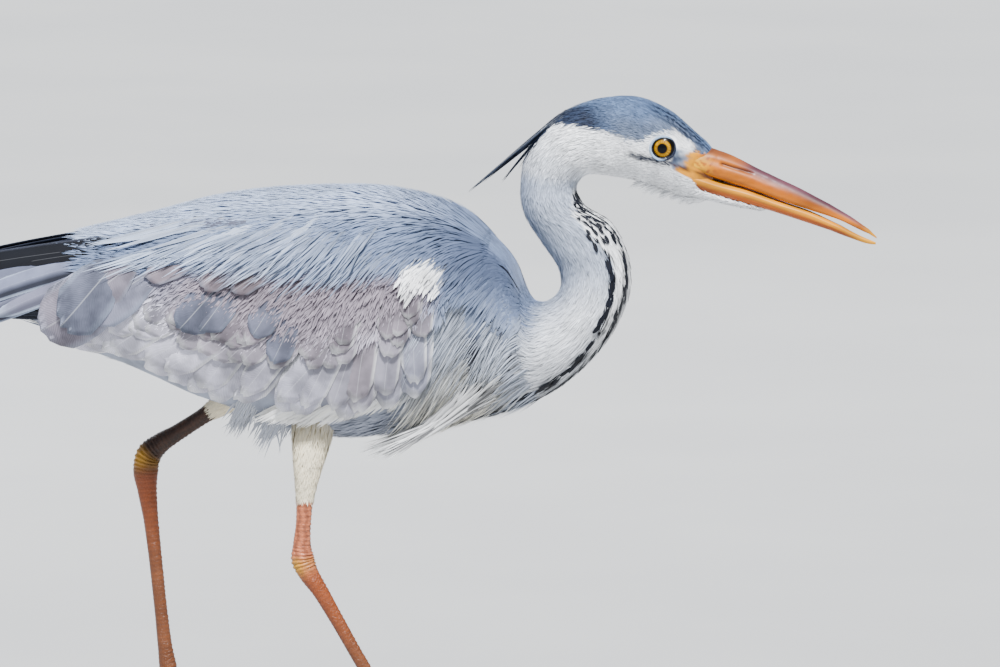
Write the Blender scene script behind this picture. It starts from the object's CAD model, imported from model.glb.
"""Grey heron, life size, as a still museum model: skin, feathers, bill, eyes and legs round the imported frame.

Metres, +X is the way the bird faces, +Y its left side, +Z up, floor at Z = 0. The body's form is given in
millimetres in the maker's own axes and moved into the frame by the place of the left eye. A place on a form
is its place number s along it, an angle round it from the back line towards +Y, and a height out from it.
"""
import logging
import math
from dataclasses import dataclass, field
from enum import Enum
from typing import Callable

import bpy
import numpy as np
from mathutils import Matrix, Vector


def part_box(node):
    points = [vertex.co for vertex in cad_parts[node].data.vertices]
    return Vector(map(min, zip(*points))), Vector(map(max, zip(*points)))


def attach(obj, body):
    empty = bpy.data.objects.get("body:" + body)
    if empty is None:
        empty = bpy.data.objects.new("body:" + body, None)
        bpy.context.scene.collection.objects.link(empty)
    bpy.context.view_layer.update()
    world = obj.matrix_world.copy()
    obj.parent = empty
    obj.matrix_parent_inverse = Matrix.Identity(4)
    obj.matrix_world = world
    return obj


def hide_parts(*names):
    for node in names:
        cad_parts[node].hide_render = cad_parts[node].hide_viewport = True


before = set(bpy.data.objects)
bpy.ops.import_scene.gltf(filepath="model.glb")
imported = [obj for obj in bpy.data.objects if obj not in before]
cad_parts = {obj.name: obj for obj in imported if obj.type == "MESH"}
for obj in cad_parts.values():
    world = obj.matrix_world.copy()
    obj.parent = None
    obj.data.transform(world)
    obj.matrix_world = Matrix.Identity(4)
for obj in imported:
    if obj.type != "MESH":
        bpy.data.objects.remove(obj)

LOG = logging.getLogger("heron")
Array = np.ndarray
Material, Piece, Socket = bpy.types.Material, bpy.types.Object, bpy.types.NodeSocket
Rng = np.random.Generator
Tint = Callable[[Array, Array], Array]  # colour by share of a feather's length and place across it, -1 to 1
MM = 0.001
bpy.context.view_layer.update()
SEED = 20240417
EYE_MM = (202.5, 11.2, 407.0)  # centre of the left eye in the maker's axes
LID_REACH = 7.9  # how far the lids reach from the eyes' axis, in mm


class Side(Enum):
    """The bird's own sides, by the sign of Y."""

    RIGHT = -1
    LEFT = 1

    @property
    def end(self) -> str:
        """The end of the side's node names."""
        return self.name.lower()


class Slot(Enum):
    """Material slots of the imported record."""

    PLUMAGE = "plumage"
    FLIGHT = "flight_feathers"
    CREST = "crest_feathers"
    BILL = "bill"
    EYE = "eye"
    SKIN = "skin"
    CLAW = "claw"


# ---------------------------------------------------------------- numbers

def srgb(red: float, green: float, blue: float) -> Array:
    """Linear colour of a screen colour given from 0 to 255."""
    value = np.array([red, green, blue], float) / 255
    return np.where(value <= 0.04045, value / 12.92, ((value + 0.055) / 1.055) ** 2.4)


def smooth(low: float | Array, high: float | Array, x: Array) -> Array:
    """Smooth step: 0 below low, 1 above high, 3t^2 - 2t^3 between."""
    t = np.clip((x - low) / (high - low), 0.0, 1.0)
    return t * t * (3 - 2 * t)


def blend(a: Array, b: Array, share: Array) -> Array:
    """Straight mix of two colours or vectors by a share for each row."""
    share = np.asarray(share)[..., None]
    return a * (1 - share) + b * share


def paint(tone: Array, *coats: tuple[Array, Array]) -> Array:
    """A tone under coats of (colour, share), laid on in turn."""
    for colour, share in coats:
        tone = blend(tone, colour, share)
    return tone


def band(x: Array, *edges: float) -> Array:
    """1 between the middle two of four edges, 0 outside the outer two."""
    return smooth(edges[0], edges[1], x) * smooth(edges[3], edges[2], x)


def lump(x: Array, centre: float, width: float) -> Array:
    """Bell of height 1: exp(-((x - centre) / width)^2)."""
    return np.exp(-(((x - centre) / width) ** 2))


def unit(v: Array) -> Array:
    """Rows of v scaled to length 1."""
    return v / np.maximum(np.linalg.norm(v, axis=-1, keepdims=True), 1e-12)


def along(table: list[tuple[float, float]], x: Array) -> Array:
    """Straight interpolation in a table of (key, value) rows, level beyond both ends."""
    keys, values = zip(*table)
    return np.interp(x, keys, values)


def run(line: Array) -> Array:
    """Length of a line of points up to each of them."""
    return np.concatenate([[0], np.cumsum(np.linalg.norm(np.diff(line, axis=0), axis=1))])


def round_grid(first: Array, steps: int) -> tuple[Array, Array]:
    """Tables of first, down the rows, and of the angles of a full turn, along them."""
    return np.meshgrid(first, np.linspace(0, 2 * np.pi, steps, endpoint=False), indexing="ij")


def lattice(rows: int, columns: int, ring: bool = False, coil: bool = False) -> Array:
    """Quads of a grid of points, whose columns close round if ring is set and whose rows do if coil is."""
    i, j = np.meshgrid(np.arange(rows - (not coil)), np.arange(columns - (not ring)), indexing="ij")
    here, there, after = i * columns, (i + 1) % rows * columns, (j + 1) % columns
    return np.stack([here + j, there + j, there + after, here + after], -1).reshape(-1, 4)


def tiled(row: Array, count: int) -> Array:
    """Count equal rows."""
    return np.tile(row, (count, 1))


def wide(v: Array) -> Array:
    """One entry for each feather, ready to meet its rows and columns."""
    return v[:, None, None]


def sides(count: int) -> Array:
    """Signs of Y: the left for the first count, the right for as many more."""
    return np.repeat([1.0, -1.0], count)


def both(stem: str) -> list[str]:
    """Names of a node on the right and on the left."""
    return [f"{stem}_{side.end}" for side in Side]


class Spline:
    """Centripetal Catmull-Rom curve through rows of points, read at many places at once."""

    def __init__(self, rows: list | Array) -> None:
        """Keeps the points with one more beyond each end."""
        p = np.asarray(rows, float)
        self.last = len(p) - 1
        self.points = np.vstack([2 * p[0] - p[1], p, 2 * p[-1] - p[-2]])

    def at(self, s: Array) -> Array:
        """Points at place numbers, where row k of the table has number k.

        Args:
            s: place numbers.
        Returns:
            One point each: a cubic whose end slopes weigh the neighbours by the root of their distance.
        """
        s = np.clip(np.asarray(s, float), 0, self.last)
        i = np.minimum(s.astype(int), self.last - 1)
        w = (s - i)[..., None]
        a, b, c, d = (self.points[i + k] for k in range(4))
        near = self._step(b, c, 1.0)
        before, after = self._step(a, b, near), self._step(c, d, near)
        leave = ((b - a) / before - (c - a) / (before + near) + (c - b) / near) * near
        reach = ((c - b) / near - (d - b) / (near + after) + (d - c) / after) * near
        return b + leave * w + (3 * (c - b) - 2 * leave - reach) * w ** 2 \
            + (2 * (b - c) + leave + reach) * w ** 3

    @staticmethod
    def _step(a: Array, b: Array, least: float | Array) -> Array:
        """Square root of the distance from a to b, or least where they meet."""
        step = (((b - a) ** 2).sum(-1) ** 0.25)[..., None]
        return np.where(step < 1e-4, least, step)


# ---------------------------------------------------------------- forms that skin and feathers lie on

class Form:
    """A surface given by a place number s along it, an angle round it and a height out from it, in mm."""

    step_s = 2e-3
    step_angle = 0.03

    def surface(self, s: Array, angle: Array, out: Array | float) -> Array:
        """Points of the surface raised by out."""
        raise NotImplementedError

    def axes(self, s: Array, angle: Array) -> tuple[Array, Array, Array, Array]:
        """Central differences of the surface.

        Args:
            s, angle: places and angles in radians.
        Returns:
            Change of the point for one place number, and for one radian; the unit direction ahead; and the
            one square to it towards larger angles.
        """
        s = np.clip(s, self.step_s, self.last - self.step_s)
        d_s = self.surface(s + self.step_s, angle, 0) - self.surface(s - self.step_s, angle, 0)
        d_a = self.surface(s, angle + self.step_angle, 0) - self.surface(s, angle - self.step_angle, 0)
        d_s, d_a = d_s / (2 * self.step_s), d_a / (2 * self.step_angle)
        ahead = unit(d_s)
        return d_s, d_a, ahead, unit(d_a - ahead * (d_a * ahead).sum(-1, keepdims=True))


class BodyForm(Form):
    """The bird from tail tip to face: sections hung between a back line and a belly line.

    A section's point is the middle, moved along the section's rise by the cosine of the angle times the
    reach above or below, and sideways by the sine to the power of the fullness times the half width.
    """

    # Back line x, z; belly line x, z; half width; share of the way down where it is widest.
    STATIONS = {
        "tail_tip": (-338, 302, -338, 298, 9, 0.5),
        "tail": (-262, 320, -258, 295, 24, 0.5),
        "rump": (-190, 334, -192, 269, 33, 0.5),
        "vent": (-142, 346, -138, 249, 43, 0.48),
        "flank": (-89, 360, -80, 226, 50, 0.47),
        "belly": (-30, 366.5, -20, 210, 54, 0.46),
        "breast": (24, 366, 34, 215, 54, 0.46),
        "shoulder": (68, 354, 77, 227, 48, 0.46),
        "neck_root": (97, 334, 104, 232.5, 39, 0.48),
        "neck_base": (111, 305, 128, 242, 32, 0.5),
        "low_bend": (121, 302.5, 160, 271, 26, 0.5),
        "fore_bend": (131.5, 311, 177, 302, 22.5, 0.5),
        "mid_bend": (131, 324, 178.5, 329, 20.5, 0.5),
        "high_bend": (119, 342, 166.5, 355, 19, 0.5),
        "throat_bend": (107.5, 361, 147, 367.5, 17, 0.5),
        "throat": (105.5, 381, 143.5, 379, 16.5, 0.5),
        "nape": (110, 402, 150, 386.5, 18, 0.5),
        "crown_back": (124, 421, 156, 387, 19.5, 0.52),
        "crown": (148, 434.5, 166, 386, 20.5, 0.55),
        "brow": (181, 439, 182, 383.5, 20, 0.56),
        "eye": (204, 430.5, 198, 378.5, 17.5, 0.56),
        "lores": (222, 416, 215, 373, 13.5, 0.58),
        "face": (237, 405, 231, 372, 10.5, 0.6),
    }
    FULLNESS = 0.84
    LOW_BEND = list(STATIONS).index("low_bend")
    LAYER = 8.0  # height of the feathered outside, for places seen from the side

    def __init__(self) -> None:
        """Lays the three curves through the stations."""
        rows = np.array(list(self.STATIONS.values()), float)
        self.last = len(rows) - 1
        self.back, self.belly, self.size = (Spline(rows[:, k:k + 2]) for k in (0, 2, 4))

    def section(self, s: Array) -> tuple[Array, Array, Array, Array, Array]:
        """Reads the sections at some places.

        Args:
            s: place numbers.
        Returns:
            Middle, rise, half width, and reaches above and below.
        """
        up, down, size = self.back.at(s), self.belly.at(s), self.size.at(s)
        middle = blend(up, down, size[..., 1])
        above = np.linalg.norm(up - middle, axis=-1)
        return middle, unit(up - down), size[..., 0], above, np.linalg.norm(down - middle, axis=-1)

    def surface(self, s: Array, angle: Array, out: Array | float) -> Array:
        """Raised points.

        Args:
            s, angle, out: places, angles and heights.
        Returns:
            Points, by the class's formula.
        """
        middle, rise, side, above, below = self.section(s)
        cosine, sine = np.cos(angle), np.sin(angle)
        reach = (np.where(cosine > 0, above, below) + out) * cosine
        aside = np.sign(sine) * np.abs(sine) ** self.FULLNESS * (side + out)
        return np.stack([middle[..., 0] + rise[..., 0] * reach, aside,
                         middle[..., 1] + rise[..., 1] * reach], -1)

    def beside(self, x: Array, z: Array) -> tuple[Array, Array]:
        """Finds points of the feathered outside that are seen from the side, behind the neck's bend.

        Args:
            x, z: where they are seen.
        Returns:
            Place numbers of the sections with their middles at x, and the angles at which they are z high.
        """
        fine = np.linspace(0, self.LOW_BEND, 800)
        s = np.interp(x, self.section(fine)[0][:, 0], fine)
        middle, rise, _, above, below = self.section(s)
        climb = (z - middle[..., 1]) / rise[..., 1]
        share = climb / (np.where(climb > 0, above, below) + self.LAYER)
        return s, np.arccos(np.clip(share, -1, 1))


BODY = BodyForm()
EYE_BOX = [np.array(corner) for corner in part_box("eye_left")]
SHIFT = (EYE_BOX[0] + EYE_BOX[1]) / 2 - np.array(EYE_MM) * MM


def placed(points_mm: Array) -> Array:
    """Points in the maker's millimetres, moved into the frame's metres."""
    return points_mm * MM + SHIFT


def from_eye(points: Array) -> Array:
    """Distances from the eyes' axis."""
    return np.hypot(points[..., 0] - EYE_MM[0], points[..., 2] - EYE_MM[2])


class TubeForm(Form):
    """A limb along a path with two half widths, the second of them towards a level direction.

    The angle runs from the front, through +Y when the limb points down.
    """

    def __init__(self, rows: list, side: Array | tuple = (0, 1, 0)) -> None:
        """Lays the path.

        Args:
            rows: x, y, z, half width ahead, half width sideways, from the top down.
            side: the level direction that the second half width follows.
        """
        table = np.array(rows, float)
        self.last = len(table) - 1
        self.path, self.size = Spline(table[:, :3]), Spline(table[:, 3:5])
        self.side = np.array(side, float)

    def grid(self, rings: int, steps: int) -> tuple[Array, Array]:
        """Places and angles of rings from end to end."""
        return round_grid(np.linspace(0, self.last, rings), steps)

    def length(self, s: Array, angle: Array) -> Array:
        """Length of the tube up to each ring of a grid, as a column."""
        return run(self.surface(s, angle, 0).mean(1))[:, None]

    def surface(self, s: Array, angle: Array, out: Array | float) -> Array:
        """The path's point plus an ellipse across the path, kept above the floor.

        Args:
            s, angle, out: places, angles and heights.
        Returns:
            Points.
        """
        inner = np.clip(s, 0.01, self.last - 0.01)
        line = unit(self.path.at(inner + 0.01) - self.path.at(inner - 0.01))
        ahead = unit(np.cross(np.broadcast_to(self.side, line.shape), line))
        across = np.cross(line, ahead)
        size = self.size.at(s)
        point = self.path.at(s) \
            - ahead * ((size[..., 0] + out) * np.cos(angle))[..., None] \
            + across * ((size[..., 1] + out) * np.sin(angle))[..., None]
        point[..., 2] = np.maximum(point[..., 2], 0)
        return point


# ---------------------------------------------------------------- meshes

def linked(name: str, data: bpy.types.ID, place: tuple = (0, 0, 0), aim: Vector | None = None) -> Piece:
    """Puts an object into the scene.

    Args:
        name, data: what it is.
        place: where it stands.
        aim: the way its Z axis points, if it is turned.
    Returns:
        The new object.
    """
    piece = bpy.data.objects.new(name, data)
    piece.location = place
    if aim is not None:
        piece.rotation_mode = "QUATERNION"
        piece.rotation_quaternion = aim.to_track_quat("Z", "Y")
    bpy.context.scene.collection.objects.link(piece)
    return piece


@dataclass
class MeshData:
    """Arrays of one mesh in millimetres, with the maps that its finish reads."""

    points: Array
    quads: Array
    tris: Array = field(default_factory=lambda: np.zeros((0, 3), int))
    tint: Array | None = None
    vane: Array | None = None
    bake: Array | None = None
    finish: Array | None = None  # material number of each quad, then of each triangle
    per: int = 1  # points in a feather

    @staticmethod
    def joined(parts: list["MeshData"]) -> "MeshData":
        """One mesh of several.

        Args:
            parts: meshes that have the same maps.
        Returns:
            Their sum, with the indices shifted.
        """
        starts, merged = np.cumsum([0] + [len(p.points) for p in parts[:-1]]), {}
        for name in ("points", "tint", "vane", "bake"):
            if getattr(parts[0], name) is not None:
                merged[name] = np.concatenate([getattr(p, name) for p in parts])
        for name in ("quads", "tris"):
            merged[name] = np.concatenate([getattr(p, name) + k for p, k in zip(parts, starts)])
        if parts[0].finish is not None:
            merged["finish"] = np.concatenate([p.finish[:len(p.quads)] for p in parts]
                                              + [p.finish[len(p.quads):] for p in parts])
        return MeshData(**merged)

    def build(self, name: str, finishes: list[Material]) -> Piece:
        """Makes the object at the origin.

        Args:
            name: the piece's name.
            finishes: its materials, in the order of the finish numbers.
        Returns:
            The new object, linked to the scene.
        """
        mesh = bpy.data.meshes.new(name)
        corners = np.concatenate([self.quads.ravel(), self.tris.ravel()]).astype(np.int32)
        starts = np.concatenate([np.arange(len(self.quads)) * 4,
                                 len(self.quads) * 4 + np.arange(len(self.tris)) * 3]).astype(np.int32)
        mesh.vertices.add(len(self.points))
        mesh.vertices.foreach_set("co", placed(self.points).astype(np.float32).ravel())
        mesh.loops.add(len(corners))
        mesh.loops.foreach_set("vertex_index", corners)
        mesh.polygons.add(len(starts))
        mesh.polygons.foreach_set("loop_start", starts)
        for material in finishes:
            mesh.materials.append(material)
        if self.finish is not None:
            mesh.polygons.foreach_set("material_index", self.finish.astype(np.int32))
        for title, values in (("OFBake", self.bake), ("Vane", self.vane)):
            if values is not None:
                layer = mesh.uv_layers.new(name=title)
                layer.uv.foreach_set("vector", values[corners].astype(np.float32).ravel())
        if self.tint is not None:
            colours = mesh.attributes.new("tint", "FLOAT_COLOR", "POINT")
            full = np.concatenate([self.tint, np.ones((len(self.tint), 1))], 1)
            colours.data.foreach_set("color", full.astype(np.float32).ravel())
        mesh.update(calc_edges=True)
        mesh.validate()
        mesh.shade_smooth()
        return linked(name, mesh)


def shell(points: Array, tint: Array, finish: int = 0) -> MeshData:
    """A closed tube of a grid of points, round in its second index, with a fan over each end.

    Args:
        points: rings by steps round, by 3.
        tint: a colour for each point of the grid, or one for all.
        finish: material number.
    Returns:
        The tube's arrays, facing out if each ring turns from up towards +Y as the rings go ahead.
    """
    rings, steps = points.shape[:2]
    tint = np.broadcast_to(tint, points.shape)
    quads = lattice(rings, steps, ring=True)
    here = np.arange(steps)
    turn, last, centre = (here + 1) % steps, (rings - 1) * steps, np.full(steps, rings * steps)
    tris = np.concatenate([np.stack([here, turn, centre], -1),
                           np.stack([last + turn, last + here, centre + 1], -1)])
    return MeshData(np.concatenate([points.reshape(-1, 3), points[[0, -1]].mean(1)]), quads, tris,
                    np.concatenate([tint.reshape(-1, 3), tint[[0, -1]].mean(1)]),
                    finish=np.full(len(quads) + len(tris), finish))


# ---------------------------------------------------------------- colours of the plumage

class Colour:
    """Plumage and skin colours, linear."""

    WHITE = srgb(254, 254, 255)
    THROAT = srgb(249, 250, 252)
    NECK = srgb(172, 181, 198)
    NAPE = srgb(140, 153, 178)
    CROWN = srgb(98, 121, 158)
    NAVY = srgb(18, 25, 46)
    BLACK = srgb(8, 10, 18)
    MANTLE = srgb(108, 123, 152)
    SHOULDER = srgb(64, 74, 98)
    FAR = srgb(128, 145, 180)
    SILVER = srgb(196, 210, 236)
    COVERT = srgb(136, 137, 156)
    PEARL = srgb(222, 220, 236)
    FAWN = srgb(128, 114, 120)
    FRESH = srgb(74, 80, 98)
    TERTIAL = srgb(112, 119, 144)
    SOOT = srgb(112, 119, 132)
    PRIMARY = srgb(10, 12, 20)
    TAIL = srgb(84, 94, 118)
    BELLY = srgb(150, 156, 172)
    BREAST = srgb(50, 52, 60)
    CREAM = srgb(250, 245, 228)
    THIGH = srgb(240, 226, 190)
    LORES = srgb(198, 130, 0)
    LORES_PALE = srgb(132, 148, 172)
    LID = srgb(6, 6, 9)
    LID_RING = srgb(160, 184, 214)
    ORANGE = srgb(172, 92, 0)
    YELLOW = srgb(196, 126, 0)
    MOUTH = srgb(50, 24, 16)
    BLOT = srgb(120, 60, 14)
    AMBER = srgb(214, 160, 0)
    RIDGE = srgb(84, 44, 30)
    RUST = srgb(148, 72, 4)
    DUSK = srgb(74, 44, 62)
    BILL_TIP = srgb(196, 140, 0)
    BILL_EDGE = srgb(196, 116, 0)
    SLIT = srgb(70, 30, 14)
    LOWER = srgb(160, 74, 0)
    LOWER_FOOT = srgb(142, 66, 14)
    LOWER_TIP = srgb(202, 136, 0)
    IRIS = srgb(190, 138, 0)
    IRIS_RAY = srgb(134, 90, 0)
    IRIS_INNER = srgb(96, 66, 6)
    IRIS_RIM = srgb(8, 7, 6)
    FLESH = srgb(196, 112, 74), srgb(92, 48, 34)  # right shank and its streaks
    UMBER = srgb(60, 34, 18), srgb(26, 14, 8)  # left shank and its streaks
    ANKLE = srgb(190, 136, 34)
    TARSUS = srgb(136, 66, 28)
    TARSUS_LOW = srgb(84, 56, 32)
    TOE = srgb(108, 72, 42)
    TOE_TOP = srgb(78, 52, 32)
    BALL = srgb(98, 66, 38)
    CLAW = srgb(46, 38, 34)


class Layers:
    """How far the wing, mantle and breast feathers stand out from the body, in mm."""

    SCAPULAR_EDGE = [(-176, 329), (-123, 331), (-99, 329), (-80, 320), (-33, 315), (13, 321), (63, 331),
                     (88, 318)]
    WING_EDGE = [(-214, 286), (-206, 274), (-194, 268), (-175, 264), (-155, 258), (-134, 249), (-114, 239),
                 (-94, 234), (-67, 230), (-34, 227), (-14, 228), (12, 235), (32, 240), (46, 250)]
    DEPTH = [(0, 1.0), (2, 2.2), (7.5, 2.6), (9.5, 2.2), (14, 1.8), (17, 1.3), (19, 0.9), (22, 0.5)]
    THICKNESS = 9.0
    COAT = 4.5

    @classmethod
    def relief(cls, s: Array, angle: Array) -> Array:
        """Height of the feathered outside: the wing's thickness within its edge, less on the tail.

        Args:
            s, angle: places and angles in radians.
        Returns:
            Heights.
        """
        spot = BODY.surface(s, np.abs(angle), 0)
        edge = along(cls.WING_EDGE, spot[..., 0])
        wing = smooth(edge - 9, edge + 3, spot[..., 2]) * smooth(104, 84, spot[..., 0]) * smooth(8.6, 7.2, s)
        return wing * (2.5 + (cls.THICKNESS - 2.5) * smooth(0.0, 1.8, s))

    @classmethod
    def skin(cls, s: Array, angle: Array) -> Array:
        """Height of the skin: the relief less the coat's depth, which is least on the head."""
        under = np.maximum(cls.relief(s, angle) - cls.COAT, 0)
        return under - along(cls.DEPTH, s) - 0.9 * smooth(20.9, 22, s) - 2.6 * smooth(21.5, 22, s)


class Markings:
    """The bird's colours by place, the same for skin and coat. Angles are degrees from the back line."""

    CROWN_EDGE = [(16.7, 0), (17.2, 36), (17.7, 58), (18.4, 72), (18.9, 82), (19.3, 80), (19.7, 66),
                  (20.3, 46), (20.9, 44), (21.3, 58), (22, 64)]
    STREAK_ROW = [(7.5, 171), (8.4, 154), (8.9, 147), (9.6, 143), (10.3, 140), (10.7, 130), (11.2, 126),
                  (12.0, 130), (12.4, 126), (12.7, 117), (13.0, 112), (13.6, 128), (14.2, 150), (14.9, 161)]
    FRONT_ROW = [(8.5, 172), (10.5, 164), (10.9, 157), (11.4, 159), (12.0, 165), (13.0, 170), (14.5, 172)]
    GAPE = [(18.95, 103), (19.3, 103), (20.0, 97), (20.7, 85), (21.6, 76), (22, 74)]
    BARE_TOP = [(207, 408), (212, 407), (219, 405.5), (224, 404), (230, 402.5), (236, 401)]
    BARE_LOW = [(204, 396), (209, 392.6), (216, 389), (224, 384.5), (229, 381), (235, 378.5), (251, 374),
                (270, 366)]
    FAWN_PATCHES = [(-63, 325, 24), (-121, 338, 14), (-163, 331, 11), (-205, 290, 14), (10, 270, 20)]

    def __init__(self, rng: Rng) -> None:
        """Draws the places of the dark streaks."""
        self.phase = rng.uniform(0, 2 * np.pi, 8)

    def mottle(self, s: Array, angle: Array, fine: float) -> Array:
        """Irregular field from -1 to 1: a sum of four slanted sine waves."""
        a, waves = np.radians(angle) * 6, ((1.0, 1.3), (1.7, -2.1), (0.6, 3.4), (2.3, 0.7))
        return sum(np.sin(fine * s * u + a * v + p) for (u, v), p in zip(waves, self.phase)) / 4

    @classmethod
    def bare(cls, points: Array) -> Array:
        """1 on the naked skin between eye and bill, by place seen from the side."""
        x, z = points[..., 0], points[..., 2]
        inside = smooth(-0.6, 0.6, along(cls.BARE_TOP, x) - z) * smooth(-0.6, 0.6, z - along(cls.BARE_LOW, x))
        return inside * smooth(207, 209.5, x) * (np.abs(points[..., 1]) > 2)

    def head(self, s: Array, angle: Array) -> Array:
        """White cheeks below a blue-grey crown with navy sides, a white brow stripe and a dark gape line.

        Args:
            s, angle: places.
        Returns:
            Colours.
        """
        edge = along(self.CROWN_EDGE, s)
        crown = smooth(edge + 4, edge - 4, angle)
        rear = smooth(18.6, 17.8, s + 0.4 * smooth(26, 8, angle) * (s < 19) - 0.004 * angle)
        fore = smooth(18.9, 19.9, s) * band(angle, 4, 12, 30, 44)
        streak = smooth(-0.5, 0.5, np.sin(0.62 * angle + 1.4 * np.sin(3.1 * s) + self.phase[4]))
        dark = crown * np.clip(rear * (0.9 + 0.1 * streak) + fore * (0.25 + 0.75 * streak), 0, 1)
        flecks = smooth(0.15, 0.5, self.mottle(s, angle, 9.0)) * smooth(17.4, 18.2, s)
        stripe = band(s, 20.2, 20.45, 20.95, 21.25) * band(angle, 37, 44, 60, 66)
        lore = smooth(20.9, 21.2, s) * band(angle, 38, 46, 76, 84)
        blotch = self.mottle(s, angle, 23.0)
        gape = lump(angle, along(self.GAPE, s), 5.4 + 1.0 * smooth(19.2, 20.2, s)) * smooth(18.8, 19.1, s)
        return paint(
            Colour.THROAT, (Colour.NECK, 0.5 * smooth(17.4, 15.6, s)), (Colour.CROWN, crown),
            (Colour.SOOT, 0.6 * crown * smooth(edge - 42, edge - 8, angle) * smooth(18.2, 18.9, s)),
            (Colour.NAVY, np.maximum(0.96 * dark, 0.35 * crown * flecks)), (Colour.WHITE, stripe),
            (Colour.NAVY, 0.7 * lore * smooth(0.0, 0.3, blotch)),
            (Colour.LORES, 0.8 * lore * smooth(-0.1, -0.4, blotch)), (Colour.NAVY, gape))

    def neck(self, s: Array, angle: Array) -> Array:
        """Pale grey neck, white in front between rows of black streaks.

        Args:
            s, angle: places.
        Returns:
            Colours.
        """
        row = along(self.STREAK_ROW, s)
        front = smooth(row - 3, row + 4, angle) * band(s, 9.4, 10.2, 14.6, 15.2)
        dashes = np.where(s > 12.25, smooth(-0.1, 0.25, np.sin(s * 33)), smooth(-0.8, -0.4, np.sin(s * 8.3)))
        dashes = np.where(s < 10.4, smooth(-0.5, 0.0, np.sin(s * 9.1 + 1.0)), dashes)
        mark = lump(angle, row, np.where(s < 10.4, 8.0, 6.8)) * dashes * band(s, 7.4, 8.2, 12.2, 12.6)
        speckle = smooth(13.9, 14.5, s) * smooth(row + 6, row + 14, angle) * smooth(15.1, 14.5, s)
        speckle *= smooth(-0.05, 0.12, self.mottle(s, angle, 17.0) + 0.45 * smooth(13.6, 14.4, s))
        fore = lump(angle, along(self.FRONT_ROW, s), 8.0) * smooth(-0.7, -0.2, np.sin(s * 21 + 0.8))
        fore *= band(s, 8.3, 8.9, 12.3, 12.9)
        dark = np.clip(np.maximum(np.maximum(mark, speckle), fore) * 1.6 * smooth(15.3, 14.9, s), 0, 1)
        return paint(Colour.WHITE, (Colour.NECK, 0.35 + 0.65 * smooth(10.2, 12.2, s)),
                     (Colour.NAPE, 0.7 * smooth(95, 20, angle)), (Colour.WHITE, front), (Colour.BLACK, dark))

    def wing(self, x: Array, z: Array) -> Array:
        """Folded wing: lilac-grey, browner high up and pearly low down, with fawn patches.

        Args:
            x, z: places seen from the side.
        Returns:
            Colours.
        """
        height = z - along(Layers.WING_EDGE, x)
        fawn = 0.75 * smooth(22, 58, height) * smooth(-150, -90, x)
        for cx, cz, size in self.FAWN_PATCHES:
            fawn = np.maximum(fawn, 0.8 * lump(np.hypot(x - cx, (z - cz) * 1.6), 0, size))
        return paint(np.broadcast_to(Colour.COVERT, (*np.shape(x), 3)),
                     (Colour.PEARL, (0.62 + 0.33 * smooth(-40, -120, x)) * smooth(70, 42, height)),
                     (Colour.FAWN, fawn),
                     (Colour.SHOULDER, 0.45 * smooth(22, 44, x) * smooth(52, 30, height)))

    def trunk(self, s: Array, angle: Array) -> Array:
        """Blue-grey back, darker shoulders, lilac sides and pale underparts.

        Args:
            s, angle: places.
        Returns:
            Colours.
        """
        shoulder = band(s, 5.9, 7.2, 7.9, 8.9) * band(angle, 18, 34, 62, 78)
        spot = BODY.surface(s, np.radians(angle), BODY.LAYER)
        x, z = spot[..., 0], spot[..., 2]
        breast = smooth(6.3, 7.0, s) * smooth(66, 84, angle)
        patch = smooth(9, 6.5, np.hypot((x - 50) * 0.62, z - 325 + 0.1 * (x - 50)))
        return paint(
            Colour.MANTLE, (Colour.SILVER, 0.6 * smooth(46, 22, angle) * smooth(7.2, 5.6, s)),
            (Colour.SHOULDER, 0.85 * shoulder),
            (self.wing(x, z), smooth(62, 74, angle) * smooth(6.9, 6.5, s)),
            (Colour.BELLY, smooth(122, 136, angle)),
            (blend(Colour.SHOULDER, Colour.NAPE, smooth(64, 100, angle)), breast),
            (Colour.BREAST, breast * smooth(9.2, 8.3, s) * smooth(84, 104, angle)),
            (Colour.NECK, breast * smooth(8.3, 9.0, s)), (Colour.WHITE, patch),
            (Colour.CREAM, breast * smooth(112, 140, angle) * 0.25), (Colour.TAIL, smooth(2.0, 1.3, s)))

    def tint(self, s: Array, angle: Array) -> Array:
        """The marking at any place.

        Args:
            s, angle: places, with angles in radians of either sign.
        Returns:
            Linear colours.
        """
        degrees = np.degrees(np.abs(angle))
        far = smooth(0, 0.06, angle) * smooth(6.4, 7.0, s) * smooth(1.5, 1.1, angle)
        return paint(self.trunk(s, degrees), (Colour.FAR, 0.8 * far),
                     (self.neck(s, degrees), smooth(8.0, 9.3, s + (degrees - 90) / 60)),
                     (self.head(s, degrees), smooth(15.0, 15.6, s)))


MARKS = Markings(np.random.default_rng(SEED))


# ---------------------------------------------------------------- feathers

@dataclass(frozen=True)
class Vane:
    """The shape that a tract's feathers share.

    Half width along the feather is (t / base)^0.6 up to base, times (1 - t^taper)^point; each of the
    columns ends at its own share of the length, least at the edges by round, and shortened by ragged.
    """

    rows: int = 3
    columns: int = 2
    base: float = 0.3
    point: float = 1.0
    taper: float = 1.6
    round: float = 0.0
    ragged: float = 0.0
    camber: float = 0.08
    solid: float = 0.0  # thickness in mm, or 0 for a single sheet
    stiff: float = 0.0  # 0 hugs the body, 1 runs straight on from the root


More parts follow.
